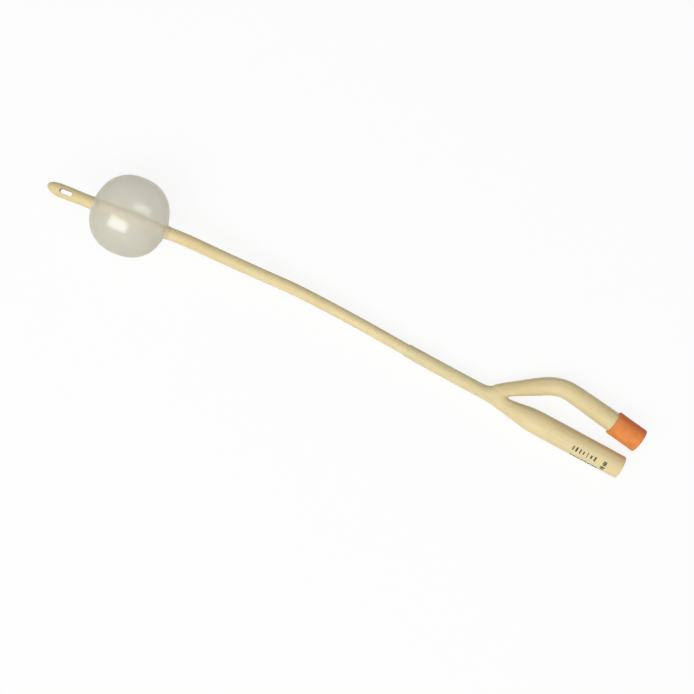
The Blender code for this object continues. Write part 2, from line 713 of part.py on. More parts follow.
def make_ring(parts, finish):
    """The coloured ring, a plain sleeve with eased edges, gripping the end of the arm."""
    outer = RING_OUTER / 2
    inner = ARM_END_OUTER / 2 + BOND_GAP
    ease = RING_EDGE_ROUND
    profile = [
        (outer - ease, 0), (outer - 0.3 * ease, -0.3 * ease), (outer, -ease),
        (outer, -RING_LENGTH + ease), (outer - 0.3 * ease, -RING_LENGTH + 0.3 * ease),
        (outer - ease, -RING_LENGTH), (inner, -RING_LENGTH), (inner, 0),
    ]
    ring = turned_object("valve_ring", profile, VALVE_SIDES, parts, finish)
    place, way = arm_point(arm_length())
    ring.matrix_world = facing(place, way)
    return ring


def make_plug(parts, cutters, finish):
    """The soft valve: a flanged rubber plug with a luer socket and a slit bill that closes behind it."""
    body, flange = PLUG_BODY / 2, ARM_END_OUTER / 2 - BOND_GAP
    flange_back = -PLUG_FLANGE_LENGTH + SEAT_GAP
    body_end = -PLUG_FLANGE_LENGTH - PLUG_BODY_LENGTH
    profile = [
        (LUER_MOUTH / 2, 0), (flange, 0), (flange, flange_back), (body, flange_back),
        (body, body_end), (PLUG_BILL_END / 2, body_end - PLUG_BILL_LENGTH),
        (0, body_end - PLUG_BILL_LENGTH), (0, -LUER_DEPTH), (LUER_END / 2, -LUER_DEPTH),
    ]
    mesh = bpy.data.meshes.new("valve_plug")
    count = len(profile)
    on_axis = [radius == 0 for radius, _ in profile]
    edges = [(i, (i + 1) % count) for i in range(count) if not (on_axis[i] and on_axis[(i + 1) % count])]
    mesh.from_pydata([(radius, 0.0, height) for radius, height in profile], edges, [])
    plug = part("valve_plug", mesh, parts, finish)
    screw = plug.modifiers.new("turn", "SCREW")
    screw.axis = "Z"
    screw.steps = screw.render_steps = VALVE_SIDES
    screw.use_merge_vertices = True
    screw.merge_threshold = 1e-6
    place, way = arm_point(arm_length())
    plug.matrix_world = facing(place, way)
    shape = bmesh.new()
    bill = PLUG_BODY_LENGTH + PLUG_FLANGE_LENGTH + PLUG_BILL_LENGTH - LUER_DEPTH + 2 * CUT_PAST
    bmesh.ops.create_cube(shape, size=1.0, matrix=Matrix.Diagonal((SLIT_WIDTH, SLIT_LENGTH, bill, 1)))
    slit = bpy.data.objects.new("valve_slit", mesh_from_bmesh("valve_slit", shape))
    slit.matrix_world = facing(place, way) @ Matrix.Translation((0, 0, -LUER_DEPTH - bill / 2 + CUT_PAST))
    cutters.objects.link(slit)
    cut(plug, hide_cutter(slit))
    return plug


def stand_over_origin(parts, cutters):
    """Hangs everything on one empty and moves it so the box's bottom centre is at the origin."""
    bpy.context.view_layer.update()
    graph = bpy.context.evaluated_depsgraph_get()
    low, high = Vector((1e9,) * 3), Vector((-1e9,) * 3)
    for obj in parts.objects:
        evaluated = obj.evaluated_get(graph)
        mesh = evaluated.to_mesh()
        for vert in mesh.vertices:
            place = evaluated.matrix_world @ vert.co
            low = Vector(map(min, low, place))
            high = Vector(map(max, high, place))
        evaluated.to_mesh_clear()
    base = bpy.data.objects.new("catheter_base", None)
    parts.objects.link(base)
    for obj in [*parts.objects, *cutters.objects]:
        if obj is not base:
            obj.parent = base
    base.location = (-(low.x + high.x) / 2, -(low.y + high.y) / 2, -low.z)


def main():
    clear_scene()
    parts = new_collection("balloon_catheter")
    cutters = new_collection("cutters")
    latex = material("latex", LATEX, 0.35)
    membrane = material("balloon_membrane", MEMBRANE, 0.2)
    orange = material("orange_rubber", ORANGE, 0.45)
    plug_rubber = material("plug_rubber", PLUG_WHITE, 0.5)
    make_tube(parts, cutters, latex)
    make_balloon(parts, membrane)
    make_body(parts, cutters, latex)
    make_ring(parts, orange)
    make_plug(parts, cutters, plug_rubber)
    stand_over_origin(parts, cutters)


main()
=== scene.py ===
"""Looks of a latex balloon catheter that lies on a white table with its balloon inflated.

Lengths are written in millimetres and kept in metres. Places along the tube are measured from its
tip, and places on the forked body from the fork, where the inflation arm leaves the neck.
"""

import math

import bmesh
import bpy
from mathutils import Matrix, Vector
from mathutils.geometry import interpolate_bezier


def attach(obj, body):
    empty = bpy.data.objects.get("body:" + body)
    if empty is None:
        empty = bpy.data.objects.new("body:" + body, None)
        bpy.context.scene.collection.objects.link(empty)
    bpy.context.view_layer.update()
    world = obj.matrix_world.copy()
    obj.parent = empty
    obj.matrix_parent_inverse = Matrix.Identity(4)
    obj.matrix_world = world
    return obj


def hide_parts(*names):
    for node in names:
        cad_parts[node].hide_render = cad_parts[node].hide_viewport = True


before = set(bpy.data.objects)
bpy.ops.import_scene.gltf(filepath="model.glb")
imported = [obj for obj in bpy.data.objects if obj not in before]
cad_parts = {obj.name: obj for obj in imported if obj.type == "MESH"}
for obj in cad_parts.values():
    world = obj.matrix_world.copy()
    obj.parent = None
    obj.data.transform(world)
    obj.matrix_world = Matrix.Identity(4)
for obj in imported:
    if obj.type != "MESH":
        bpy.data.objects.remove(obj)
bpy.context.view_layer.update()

MM = 0.001
FORK = Vector((69.8848, -0.4173, 0.1011)) * MM

# Tube
TIP_RADIUS = 2.975 * MM
FRONT_RADIUS = 2.84 * MM
SHAFT_RADIUS = 2.665 * MM
NOSE_LENGTH = 6.0 * MM
NOSE_LEAN = 0.45 * MM
TIP_PARALLEL_END = 11.5 * MM
TIP_TAPER = 3.0 * MM
SHAFT_TAPER = 80 * MM
FRONT_LENGTH = 60.6 * MM
FRONT_SWING = math.radians(6.9)
FRONT_LIFT = math.radians(9.3)
SHAFT_BENDS = ((62, 1.62), (80, 1.65), (97, 1.3), (114, 0.0), (133, -1.3), (152.4, -2.68))
LUMEN_RADIUS = 1.55 * MM
LUMEN_SHIFT = Vector((0, -0.433, -0.25)) * MM
LUMEN_SHIFT_START = 16 * MM
LUMEN_SHIFT_LENGTH = 10 * MM
LUMEN_FROM_TIP = 4.6 * MM
EYE_LENGTH = 5.6 * MM
EYE_WIDTH = 2.0 * MM
EYE_FROM_TIP = 8.75 * MM
EYE_LEVELS = ((-3.5, 0.82), (-2.68, 0), (2.68, 0), (3.5, 0.82))
PORT_FROM_TIP = 37.7 * MM
PORT_WIDTH = 1.3 * MM
INFLATION_RADIUS = 0.45 * MM
INFLATION_OFFSET = 1.85 * MM
INFLATION_CLOCK = math.radians(30)
INFLATION_PAST_PORT = 4 * MM
PORT_LEVELS = ((1.92, 0), (3.5, 0))
NOTCH_LENGTH = 3.2 * MM
NOTCH_WIDTH = 0.8 * MM
NOTCH_PAST_FORK = 3.0 * MM

# Balloon
BALLOON_RADIUS = 17.9 * MM
BALLOON_HALF_LENGTH = 16.9 * MM
BALLOON_FROM_TIP = 37.7 * MM
BALLOON_LEAN = 0.75 * MM
BALLOON_SQUARENESS = 2.25
BALLOON_WALL = 0.4 * MM
SWELL_RADIUS = 3.29 * MM
CUFF_INSIDE = 2.94 * MM
TIP_CUFF_LENGTH = 1.0 * MM
REAR_CUFF_LENGTH = 3.0 * MM
PLEAT_DEPTH = 0.07 * MM
PLEAT_REACH = 3.2 * MM

# Forked body
AXIS_HEIGHT = 5.45 * MM
RING_AXIS_HEIGHT = 5.65 * MM
NECK_SIDESTEP = 0.9 * MM
NECK_DRIFT = 0.25 * MM
NECK_LENGTH = 39.6 * MM
NECK_STRAIGHT = 18 * MM
NECK_RADIUS = 3.1 * MM
NECK_MOUTH_RADIUS = 2.975 * MM
SOCKET_RADIUS = 2.765 * MM
TUBE_END = 7.0 * MM
FORK_RINGS = ((-1.5, -2.2, 3.98), (1.6, -2.25, 4.7), (4.6, -2.45, 8.15))
CROTCH_REACH = 10.0 * MM
CROTCH_DIP = 2.6 * MM
CROTCH_SIDE = 3.6 * MM
CROTCH_HALF_HEIGHT = 2.48 * MM
SHOULDER_START = 1.9 * MM
SHOULDER_HEIGHT = 0.4 * MM
FUNNEL_RADIUS = 5.45 * MM
FUNNEL_RINGS = (
    (12, 3.5), (18.25, 4.475), (23, 5.25), (26, 5.45), (47, 5.45), (63.5, 5.33), (68.4, 5.33), (69.1, 5.33),
    (69.36, 5.33),
)
FUNNEL_RIM = 0.14 * MM
FUNNEL_MOUTH_RADIUS = 4.2 * MM
FUNNEL_BORE = ((69.35, 4.08), (66, 4.08), (26, 3.85), (22, 3.6), (12, 1.9), (8.4, 1.55))
THROAT_RADIUS = 1.5 * MM
ARM_ANGLE = math.radians(32.8)
ARM_RETURN = math.radians(7.5)
ARM_TO_CORNER = 35.45 * MM
ARM_CORNER_TO_END = 43.1 * MM
ARM_BEND_RADIUS = 19.0 * MM
ARM_START = -1.1 * MM
ARM_OUTERS = ((16, 6.8), (20, 7.4), (24, 8.05), (28, 8.35), (36, 8.3), (41, 8.55), (60, 9.5))
ARM_RIM = 0.3 * MM
ARM_BORE_RADIUS = 3.25 * MM
ARM_BORE_DEPTH = 15.7 * MM
AIR_WAY_RADIUS = 1.2 * MM
AIR_WAY_WIDENING = 0.3 * MM
AIR_WAY_START = 1 * MM

# What follows from the arm's sizes
ARM_ROOT = (12.6 * MM - ARM_START) / math.cos(ARM_ANGLE)
ARM_TURN = ARM_ANGLE + ARM_RETURN
ARM_TANGENT = ARM_BEND_RADIUS * math.tan(ARM_TURN / 2)
ARM_BEND_START = ARM_TO_CORNER - ARM_TANGENT
ARM_BEND_LENGTH = ARM_BEND_RADIUS * ARM_TURN
ARM_MIDDLE = ARM_BEND_START + ARM_BEND_LENGTH / 2
ARM_LENGTH = ARM_BEND_START + ARM_BEND_LENGTH + ARM_CORNER_TO_END - ARM_TANGENT

# Valve, by distance from the arm's end
RING_LENGTH = 14.4 * MM
RING_RADIUS = 5.65 * MM
RING_INSIDE = 4.85 * MM
RING_EDGE = 0.35 * MM
RING_WAIST = 0.06 * MM
PLUG_RINGS = (
    (-8.0, 0.25), (-8.0, 1.9), (-7.6, 1.96), (-0.35, 2.1), (-0.1, 2.2), (0, 2.4), (0, 4.3), (-0.12, 4.55),
    (-0.35, 4.65), (-0.9, 4.65), (-1.0, 4.6), (-1.0, 3.2), (-1.2, 3.15), (-12.0, 3.15), (-12.4, 3.1),
    (-15.5, 1.55), (-15.7, 1.4), (-15.7, 0.25),
)
SLIT_REACH = 0.4 * MM
SLIT_SQUEEZE = (1, 0.35, 3.0)

# Strokes of print: (x, angle round the funnel, length along it, width round it)
PRINT = (
    (45.9, -24, 0.55, 2.4), (47.6, -24, 0.8, 2.4), (49.4, -24, 0.6, 2.4), (51.1, -24, 0.6, 1.8),
    (53.0, -24, 0.35, 2.7), (54.9, -24, 0.75, 1.8), (56.8, -24, 0.75, 2.4), (46.8, -76, 1.3, 1.5),
    (48.6, -76, 1.3, 1.5), (50.4, -76, 1.3, 1.5), (52.2, -76, 1.3, 1.5), (54.0, -76, 1.3, 1.5),
    (55.8, -76, 1.3, 1.5), (57.6, -76, 1.3, 1.5), (59.2, -76, 1.3, 1.5), (61.6, -14, 1.5, 0.6),
    (61.6, -22, 1.9, 0.6), (61.6, -30, 1.5, 0.6), (61.6, -45, 2.1, 0.8), (61.6, -57, 1.7, 0.8),
)
STROKE_ROUNDING = 0.12 * MM
INK_GAP = 0.015 * MM
INK_THICKNESS = 0.012 * MM

# Room
AIR_LIGHT = 0.2
TABLE_WHITE = 0.88
KEY_TARGET = Vector((-0.105, -0.006, 0.018))
KEY_WAY = Vector((-0.195, -0.74, 0.9875))
KEY_LEVEL = math.radians(-2)
KEY_SIZE = (1.05, 0.72)
KEY_POWER = 7.8
FILL_WAY = Vector((0.25, -0.3, 1.45))
FILL_SIZE = (1.8, 1.8)
FILL_POWER = 15
CAMERA_PLACE = (0.005935, -0.010703, 0.5881)
CAMERA_TURN = math.radians(28.2)
SENSOR_WIDTH = 36
FOCAL_LENGTH = SENSOR_WIDTH * 1300 / 694


# Handling pieces


def put_down():
    """Leaves edit mode with nothing selected, so that the next operator meets its own piece alone."""
    if bpy.context.mode != "OBJECT":
        bpy.ops.object.mode_set(mode="OBJECT")
    bpy.ops.object.select_all(action="DESELECT")


def pick_up(piece):
    put_down()
    piece.select_set(True)
    bpy.context.view_layer.objects.active = piece


def choose(piece, kind, wanted):
    """Selects the verts, edges or faces of the open piece that wanted says yes to, and nothing else."""
    bpy.ops.mesh.select_mode(type={"verts": "VERT", "edges": "EDGE", "faces": "FACE"}[kind])
    bpy.ops.mesh.select_all(action="DESELECT")
    shape = bmesh.from_edit_mesh(piece.data)
    shape.normal_update()
    for item in [item for item in getattr(shape, kind) if wanted(item)]:
        item.select_set(True)
    shape.select_flush_mode()
    bmesh.update_edit_mesh(piece.data)


def middle(item):
    """The middle of an edge or a face."""
    total = Vector()
    for vert in item.verts:
        total += vert.co
    return total / len(item.verts)


def finish_with(piece, kind, **settings):
    """Adds a modifier and applies it."""
    pick_up(piece)
    modifier = piece.modifiers.new(kind.lower(), kind)
    for key, value in settings.items():
        setattr(modifier, key, value)
    bpy.ops.object.modifier_apply(modifier=modifier.name)


def soften(piece, levels):
    finish_with(piece, "SUBSURF", levels=levels, render_levels=levels)


def tidy(piece, angle=40):
    """Merges doubles, turns every face outwards and shades the piece smooth with its edges kept."""
    pick_up(piece)
    bpy.ops.object.mode_set(mode="EDIT")
    bpy.ops.mesh.select_mode(type="VERT")
    bpy.ops.mesh.select_all(action="SELECT")
    bpy.ops.mesh.remove_doubles(threshold=1e-6)
    bpy.ops.mesh.normals_make_consistent(inside=False)
    pick_up(piece)
    bpy.ops.object.shade_smooth_by_angle(angle=math.radians(angle))
    put_down()


def settle(piece):
    """Puts a piece's place into its mesh."""
    pick_up(piece)
    bpy.ops.object.transform_apply(location=True, rotation=True, scale=True)


def keep(piece, name, kind, values):
    """Keeps a value for each point of a piece, for its finish to read."""
    attribute = piece.data.attributes.new(name, kind, "POINT")
    attribute.data.foreach_set("vector" if kind == "FLOAT_VECTOR" else "value", values)


def keep_places(piece):
    """Keeps where each point lies while the piece is still straight."""
    keep(piece, "straight", "FLOAT_VECTOR", [c for vert in piece.data.vertices for c in vert.co])


def share_of(value):
    return min(1.0, max(0.0, value))


def smooth(share):
    """A share from 0 to 1 with a soft start and end."""
    return share * share * (3 - 2 * share)


def ahead(heading):
    return Vector((math.cos(heading), math.sin(heading), 0))


def leftward(heading):
    return Vector((-math.sin(heading), math.cos(heading), 0))


def cage(radius, sides):
    """The radius of a ring of cage points that subdivides to a circle of this radius."""
    return radius * 3 / (2 + math.cos(math.tau / sides))


def first_ring(name, sides, radius, centre, fill="NOTHING"):
    """Starts a piece from a circle that faces along X, and leaves it open with the ring selected."""
    put_down()
    bpy.ops.mesh.primitive_circle_add(
        vertices=sides, radius=radius, fill_type=fill, location=centre, rotation=(0, math.pi / 2, 0)
    )
    piece = bpy.context.object
    piece.name = piece.data.name = name
    settle(piece)
    bpy.ops.object.mode_set(mode="EDIT")
    bpy.ops.mesh.select_mode(type="VERT")
    bpy.ops.mesh.select_all(action="SELECT")
    return piece


def pull(start, end, size=(1, 1, 1), turn=0.0):
    """Extrudes what is selected from start to end, and sizes and turns the new ring there."""
    bpy.ops.mesh.extrude_region_move(TRANSFORM_OT_translate={"value": end - start})
    if size != (1, 1, 1):
        bpy.ops.transform.resize(value=size, center_override=end)
    if turn:
        bpy.ops.transform.rotate(value=turn, orient_axis="Z", center_override=end)


def pull_along(stations):
    """Extrudes the selected ring through stations of (x, radius) or (x, radius, y, z)."""
    rows = [(x, radius, *(rest or (0, 0))) for x, radius, *rest in stations]
    for (x, radius, y, z), (next_x, next_radius, next_y, next_z) in zip(rows, rows[1:]):
        share = next_radius / radius
        pull(Vector((x, y, z)), Vector((next_x, next_y, next_z)), (1, share, share))


def pull_rings(rings):
    """Extrudes what is selected at the first ring through rings of (centre, heading, radius)."""
    for (centre, heading, radius), (next_centre, next_heading, next_radius) in zip(rings, rings[1:]):
        share = next_radius / radius
        pull(centre, next_centre, (share, share, share), heading - next_heading)


def cut_out(piece, punch):
    """Cuts a closed punch out of a piece and clears it away."""
    tidy(punch)
    finish_with(piece, "BOOLEAN", object=punch, operation="DIFFERENCE", solver="EXACT")
    bpy.data.meshes.remove(punch.data)


def bore_out(piece, rings, sides=24):
    """Cuts a bore through rings of (centre, heading, radius) out of a piece."""
    centre, heading, radius = rings[0]
    punch = first_ring("bore_punch", sides, radius, centre, "NGON")
    bpy.ops.transform.rotate(value=-heading, orient_axis="Z", center_override=centre)
    pull_rings(rings)
    cut_out(piece, punch)


def punch_slot(piece, x, long, wide, levels, turn=0.0):
    """Cuts a round-ended slot that lies along X, through levels of (height, widening), turned about X."""
    place = Vector((x, 0, levels[0][0] * MM))
    put_down()
    bpy.ops.mesh.primitive_circle_add(vertices=48, radius=wide / 2, fill_type="NGON", location=place)
    punch = bpy.context.object
    settle(punch)
    bpy.ops.object.mode_set(mode="EDIT")
    for side in (-1, 1):
        choose(punch, "verts", lambda vert: (vert.co.x - x) * side > 1e-6)
        bpy.ops.transform.translate(value=(side * (long - wide) / 2, 0, 0))
    bpy.ops.mesh.select_all(action="SELECT")
    size = (long, wide, 1)
    for i, (height, ease) in enumerate(levels):
        end = Vector((x, 0, height * MM))
        next_size = (long + 2 * ease * MM, wide + 2 * ease * MM, 1)
        growth = tuple(after / before for before, after in zip(size, next_size))
        if i:
            pull(place, end, growth)
        else:
            bpy.ops.transform.resize(value=growth, center_override=end)
        place, size = end, next_size
    put_down()
    punch.rotation_euler.x = turn
    settle(punch)
    cut_out(piece, punch)


# Where things lie


def front_way():
    """The way that the straight front of the tube points, out towards the tip."""
    flat = math.cos(FRONT_LIFT)
    return Vector((-flat * math.cos(FRONT_SWING), -flat * math.sin(FRONT_SWING), math.sin(FRONT_LIFT)))


def front_root():
    """Where the straight front begins, at the height that rests the balloon on the table."""
    behind, side = SHAFT_BENDS[-1]
    reach = math.hypot(BALLOON_RADIUS * math.cos(FRONT_LIFT), BALLOON_HALF_LENGTH * math.sin(FRONT_LIFT))
    height = reach - (FRONT_LENGTH - BALLOON_FROM_TIP) * front_way().z
    return Vector((-behind * MM, side * MM, height))


def neck_axis(x):
    """The neck's axis behind the fork, drifting a little to the side by its mouth."""
    share = max(0.0, (-x - NECK_STRAIGHT) / (NECK_LENGTH - NECK_STRAIGHT))
    return Vector((x, NECK_SIDESTEP + NECK_DRIFT * share**2, AXIS_HEIGHT))


def catheter_line():
    """The tube's axis from its tip to its end inside the forked body, as evenly spread points."""
    root = front_root()
    mouth = neck_axis(-NECK_LENGTH)
    span = mouth.x - root.x
    climb = math.tan(FRONT_LIFT) * span
    knots = [mouth]
    for behind, side in SHAFT_BENDS:
        share = (mouth.x + behind * MM) / span
        rise = (root.z - AXIS_HEIGHT) * smooth(share) + climb * (share - 1) * share**2
        knots.append(Vector((-behind * MM, side * MM, AXIS_HEIGHT + rise)))
    ways = [(mouth - neck_axis(-NECK_LENGTH + 4.32 * MM)).normalized()]
    ways += [(after - before).normalized() for before, after in zip(knots, knots[2:])]
    ways.append(front_way())
    shaft = [knots[0]]
    for i, (start, end) in enumerate(zip(knots, knots[1:])):
        third = (end - start).length / 3
        shaft += interpolate_bezier(start, start + ways[i] * third, end - ways[i + 1] * third, end, 9)[1:]
    front = [root + front_way() * FRONT_LENGTH * (1 - i / 20) for i in range(20)]
    neck = [neck_axis(-NECK_LENGTH + (NECK_LENGTH - NECK_STRAIGHT) * i / 6) for i in range(1, 7)]
    neck += [neck_axis(x * MM) for x in (-14, -10, -6, -2, 2, 5)]
    neck.append(neck_axis(TUBE_END))
    return [FORK + point for point in [*front, *shaft[::-1], *neck]]


def trunk_point(x):
    """A point on the funnel's axis, by millimetres past the fork."""
    return FORK + Vector((x * MM, 0, AXIS_HEIGHT))


def arm_point(distance):
    """(centre, heading) on the inflation arm's axis, by distance from where it leaves the neck's axis."""
    start = Vector((ARM_START, NECK_SIDESTEP, 0))
    corner = start + ahead(ARM_ANGLE) * ARM_TO_CORNER
    past = distance - ARM_BEND_START
    if past <= 0:
        place, heading = start + ahead(ARM_ANGLE) * distance, ARM_ANGLE
    elif past <= ARM_BEND_LENGTH:
        heading = ARM_ANGLE - past / ARM_BEND_RADIUS
        aside = (leftward(heading) - leftward(ARM_ANGLE)) * ARM_BEND_RADIUS
        place = start + ahead(ARM_ANGLE) * ARM_BEND_START + aside
    else:
        heading = -ARM_RETURN
        place = corner + ahead(heading) * (ARM_TANGENT + past - ARM_BEND_LENGTH)
    share = share_of((distance - ARM_ROOT) / (ARM_BEND_START + ARM_BEND_LENGTH - ARM_ROOT))
    place.z = AXIS_HEIGHT + (RING_AXIS_HEIGHT - AXIS_HEIGHT) * smooth(share)
    return FORK + place, heading


def arm_radius(distance):
    """The arm's outside radius, between the measured ones."""
    if distance >= ARM_OUTERS[-1][0] * MM:
        return ARM_OUTERS[-1][1] / 2 * MM
    for (start, outer), (end, next_outer) in zip(ARM_OUTERS, ARM_OUTERS[1:]):
        if distance <= end * MM:
            share = max(0.0, (distance / MM - start) / (end - start))
            return (outer + (next_outer - outer) * share) * MM / 2


def along_arm_end():
    """A matrix at the arm's open end whose local X points out of it."""
    place, heading = arm_point(ARM_LENGTH)
    return Matrix.Translation(place) @ Matrix.Rotation(heading, 4, "Z")


def along_front(from_tip):
    """A matrix on the tube's front whose local X points from the tip towards the shaft, with Z upwards."""
    back = -front_way()
    side = Vector((0, 0, 1)).cross(back).normalized()
    turn = Matrix((back, side, back.cross(side))).transposed().to_4x4()
    place = FORK + front_root() + front_way() * (FRONT_LENGTH - from_tip)
    return Matrix.Translation(place) @ turn


# Tube


def tube_length():
    points = catheter_line()
    return sum((b - a).length for a, b in zip(points, points[1:]))


def tube_radius(x):
    """The tube's outside radius by distance from the tip, past the nose."""
    if x <= TIP_PARALLEL_END + TIP_TAPER:
        return TIP_RADIUS + (FRONT_RADIUS - TIP_RADIUS) * share_of((x - TIP_PARALLEL_END) / TIP_TAPER)
    return FRONT_RADIUS + (SHAFT_RADIUS - FRONT_RADIUS) * share_of((x - FRONT_LENGTH) / SHAFT_TAPER)


def lumen_centre(x):
    """The main lumen runs off centre, and comes back to the middle by the eyes."""
    return LUMEN_SHIFT * share_of((x - LUMEN_SHIFT_START) / LUMEN_SHIFT_LENGTH)


def shape_tube():
    """A straight tube along X, closed at the nose, with its main lumen."""
    sides = 16
    nose = []
    for degrees in (13, 27, 42, 58, 75):
        angle = math.radians(degrees)
        reach = NOSE_LENGTH * (1 - math.cos(angle))
        nose.append((reach, cage(TIP_RADIUS * math.sin(angle), sides), NOSE_LEAN * math.cos(angle) ** 2, 0))
    length = tube_length()
    xs = [5.4, 6.6, 8.6, 11.5, 13.2, 15.5, 20, 25, 30, 34, 36.9, 38.5, 42, 47, 52]
    rear, last = 58, length / MM - 1
    xs += [rear + (last - rear) * i / 23 for i in range(24)]
    walls = [(x * MM, cage(tube_radius(x * MM), sides), 0, 0) for x in xs]
    tube = first_ring("tube", sides, nose[0][1], (nose[0][0], nose[0][2], 0), "TRIFAN")
    choose(tube, "verts", lambda vert: len(vert.link_edges) == sides)
    bpy.ops.transform.translate(value=(-nose[0][0], 0, 0))
    choose(tube, "edges", lambda edge: edge.is_boundary)
    pull_along([*nose, *walls])
    end = Vector((length, 0, 0))
    pull(Vector((walls[-1][0], 0, 0)), end)
    narrower = LUMEN_RADIUS / tube_radius(length)
    pull(end, end, (1, narrower, narrower))
    centre = end + LUMEN_SHIFT
    bpy.ops.transform.translate(value=LUMEN_SHIFT)
    for x in [*reversed(xs), LUMEN_FROM_TIP / MM]:
        place = Vector((x * MM, 0, 0)) + lumen_centre(x * MM)
        pull(centre, place)
        centre = place
    pull(centre, centre - Vector((1.0 * MM, 0, 0)), (1, 0.6, 0.6))
    bpy.ops.mesh.merge(type="COLLAPSE")
    crease_rim(tube, length, cage(SHAFT_RADIUS, sides) * 0.8)
    tidy(tube)
    return tube


def crease_rim(piece, x, least_radius):
    """Keeps the outer edge of an open end from rounding away."""

    def on_rim(edge):
        flat = all(abs(vert.co.x - x) < 1e-6 for vert in edge.verts)
        return flat and math.hypot(middle(edge).y, middle(edge).z) > least_radius

    choose(piece, "edges", on_rim)
    bpy.ops.transform.edge_crease(value=0.8)


def bore_inflation_way(tube):
    """Bores the thin lumen beside the main one, with its port under the balloon and its notch at the arm."""
    across = Vector((0, math.cos(INFLATION_CLOCK), math.sin(INFLATION_CLOCK)))
    start = PORT_FROM_TIP - INFLATION_PAST_PORT
    notch = tube_length() - TUBE_END + NOTCH_PAST_FORK
    step = (notch + NOTCH_LENGTH / 2 - start) / 60
    spots = [Vector((start + step * i, 0, 0)) + across * INFLATION_OFFSET for i in range(61)]
    bore_out(tube, [(spot, 0.0, INFLATION_RADIUS) for spot in spots], 12)
    turn = INFLATION_CLOCK - math.pi / 2
    punch_slot(tube, PORT_FROM_TIP, PORT_WIDTH, PORT_WIDTH, PORT_LEVELS, turn)
    punch_slot(tube, notch, NOTCH_LENGTH, NOTCH_WIDTH, PORT_LEVELS, turn)


def lay_down(piece, points):
    """Bends a straight piece along a line of points, after its straight places are kept as an attribute."""
    keep_places(piece)
    line = bpy.data.curves.new("catheter_line", "CURVE")
    line.dimensions = "3D"
    line.twist_mode = "Z_UP"
    spline = line.splines.new("POLY")
    spline.points.add(len(points) - 1)
    for point, place in zip(spline.points, points):
        point.co = (*place, 1)
    guide = bpy.data.objects.new("catheter_line", line)
    bpy.context.scene.collection.objects.link(guide)
    finish_with(piece, "CURVE", object=guide, deform_axis="POS_X")
    bpy.data.objects.remove(guide)
    bpy.data.curves.remove(line)


def make_tube():
    tube = shape_tube()
    soften(tube, 2)
    punch_slot(tube, EYE_FROM_TIP, EYE_LENGTH, EYE_WIDTH, EYE_LEVELS)
    bore_inflation_way(tube)
    lay_down(tube, catheter_line())
    tidy(tube, 35)
    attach(tube, "root")
    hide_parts("catheter_tube")
    return tube


# Balloon


def oval(half_length, half_width, from_radius):
    """The squared oval of the balloon's wall, from its tip end to its rear end, as (x, radius)."""
    power = 2 / BALLOON_SQUARENESS
    first = math.asin((from_radius / half_width) ** (1 / power))
    steps = 20
    rows = []
    for i in range(steps + 1):
        angle = first + (math.pi - 2 * first) * i / steps
        along = math.copysign(abs(math.cos(angle)) ** power, math.cos(angle)) * half_length
        rows.append((-along, half_width * math.sin(angle) ** power))
    return rows


def shape_balloon():
    """The inflated sleeve as a closed thin wall, grown ring by ring from one cuff round to its own start."""
    sides = 48
    outside = oval(BALLOON_HALF_LENGTH, BALLOON_RADIUS, SWELL_RADIUS)
    inside = oval(BALLOON_HALF_LENGTH - BALLOON_WALL, BALLOON_RADIUS - BALLOON_WALL, CUFF_INSIDE)
    tip_end, rear_end = -BALLOON_HALF_LENGTH - TIP_CUFF_LENGTH, BALLOON_HALF_LENGTH + REAR_CUFF_LENGTH
    lip, cuff, swell = CUFF_INSIDE + 0.06 * MM, CUFF_INSIDE + 0.12 * MM, SWELL_RADIUS - 0.15 * MM
    rows = [(tip_end, CUFF_INSIDE), (tip_end, lip), (tip_end + 0.2 * MM, cuff)]
    rows += [(outside[0][0] - 0.25 * MM, swell), *outside, (outside[-1][0] + 0.25 * MM, swell)]
    rows += [(rear_end - 0.5 * MM, cuff), (rear_end, lip), (rear_end, CUFF_INSIDE)]
    rows += [*inside[::-1], (tip_end, CUFF_INSIDE)]
    stations = []
    for x, radius in rows:
        lean = BALLOON_LEAN * max(0.0, (radius - SWELL_RADIUS) / (BALLOON_RADIUS - SWELL_RADIUS))
        stations.append((x, cage(radius, sides), lean, 0))
    first = stations[0]
    balloon = first_ring("balloon_wall", sides, first[1], (first[0], first[2], 0))
    pull_along(stations)
    tidy(balloon)
    return balloon


def gather(balloon):
    """Draws the wall into faint pleats where it meets its cuffs."""
    for vert in balloon.data.vertices:
        radius = math.hypot(vert.co.y, vert.co.z)
        if radius < SWELL_RADIUS + 0.05 * MM:
            continue
        angle = math.atan2(vert.co.z, vert.co.y)
        near = math.exp(-(((radius - SWELL_RADIUS) / PLEAT_REACH) ** 2))
        rise = math.sin(13 * angle + 0.6) + 0.6 * math.sin(21 * angle + 2.0)
        vert.co.x += math.copysign(PLEAT_DEPTH, vert.co.x) * near * rise


def make_balloon():
    balloon = shape_balloon()
    soften(balloon, 1)
    gather(balloon)
    keep_places(balloon)
    keep(balloon, "inner_side", "FLOAT", [float(v.normal.dot(v.co) < 0) for v in balloon.data.vertices])
    balloon.matrix_world = along_front(BALLOON_FROM_TIP)
    settle(balloon)
    tidy(balloon, 60)
    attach(balloon, "root")
    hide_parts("balloon")
    return balloon


# Forked body


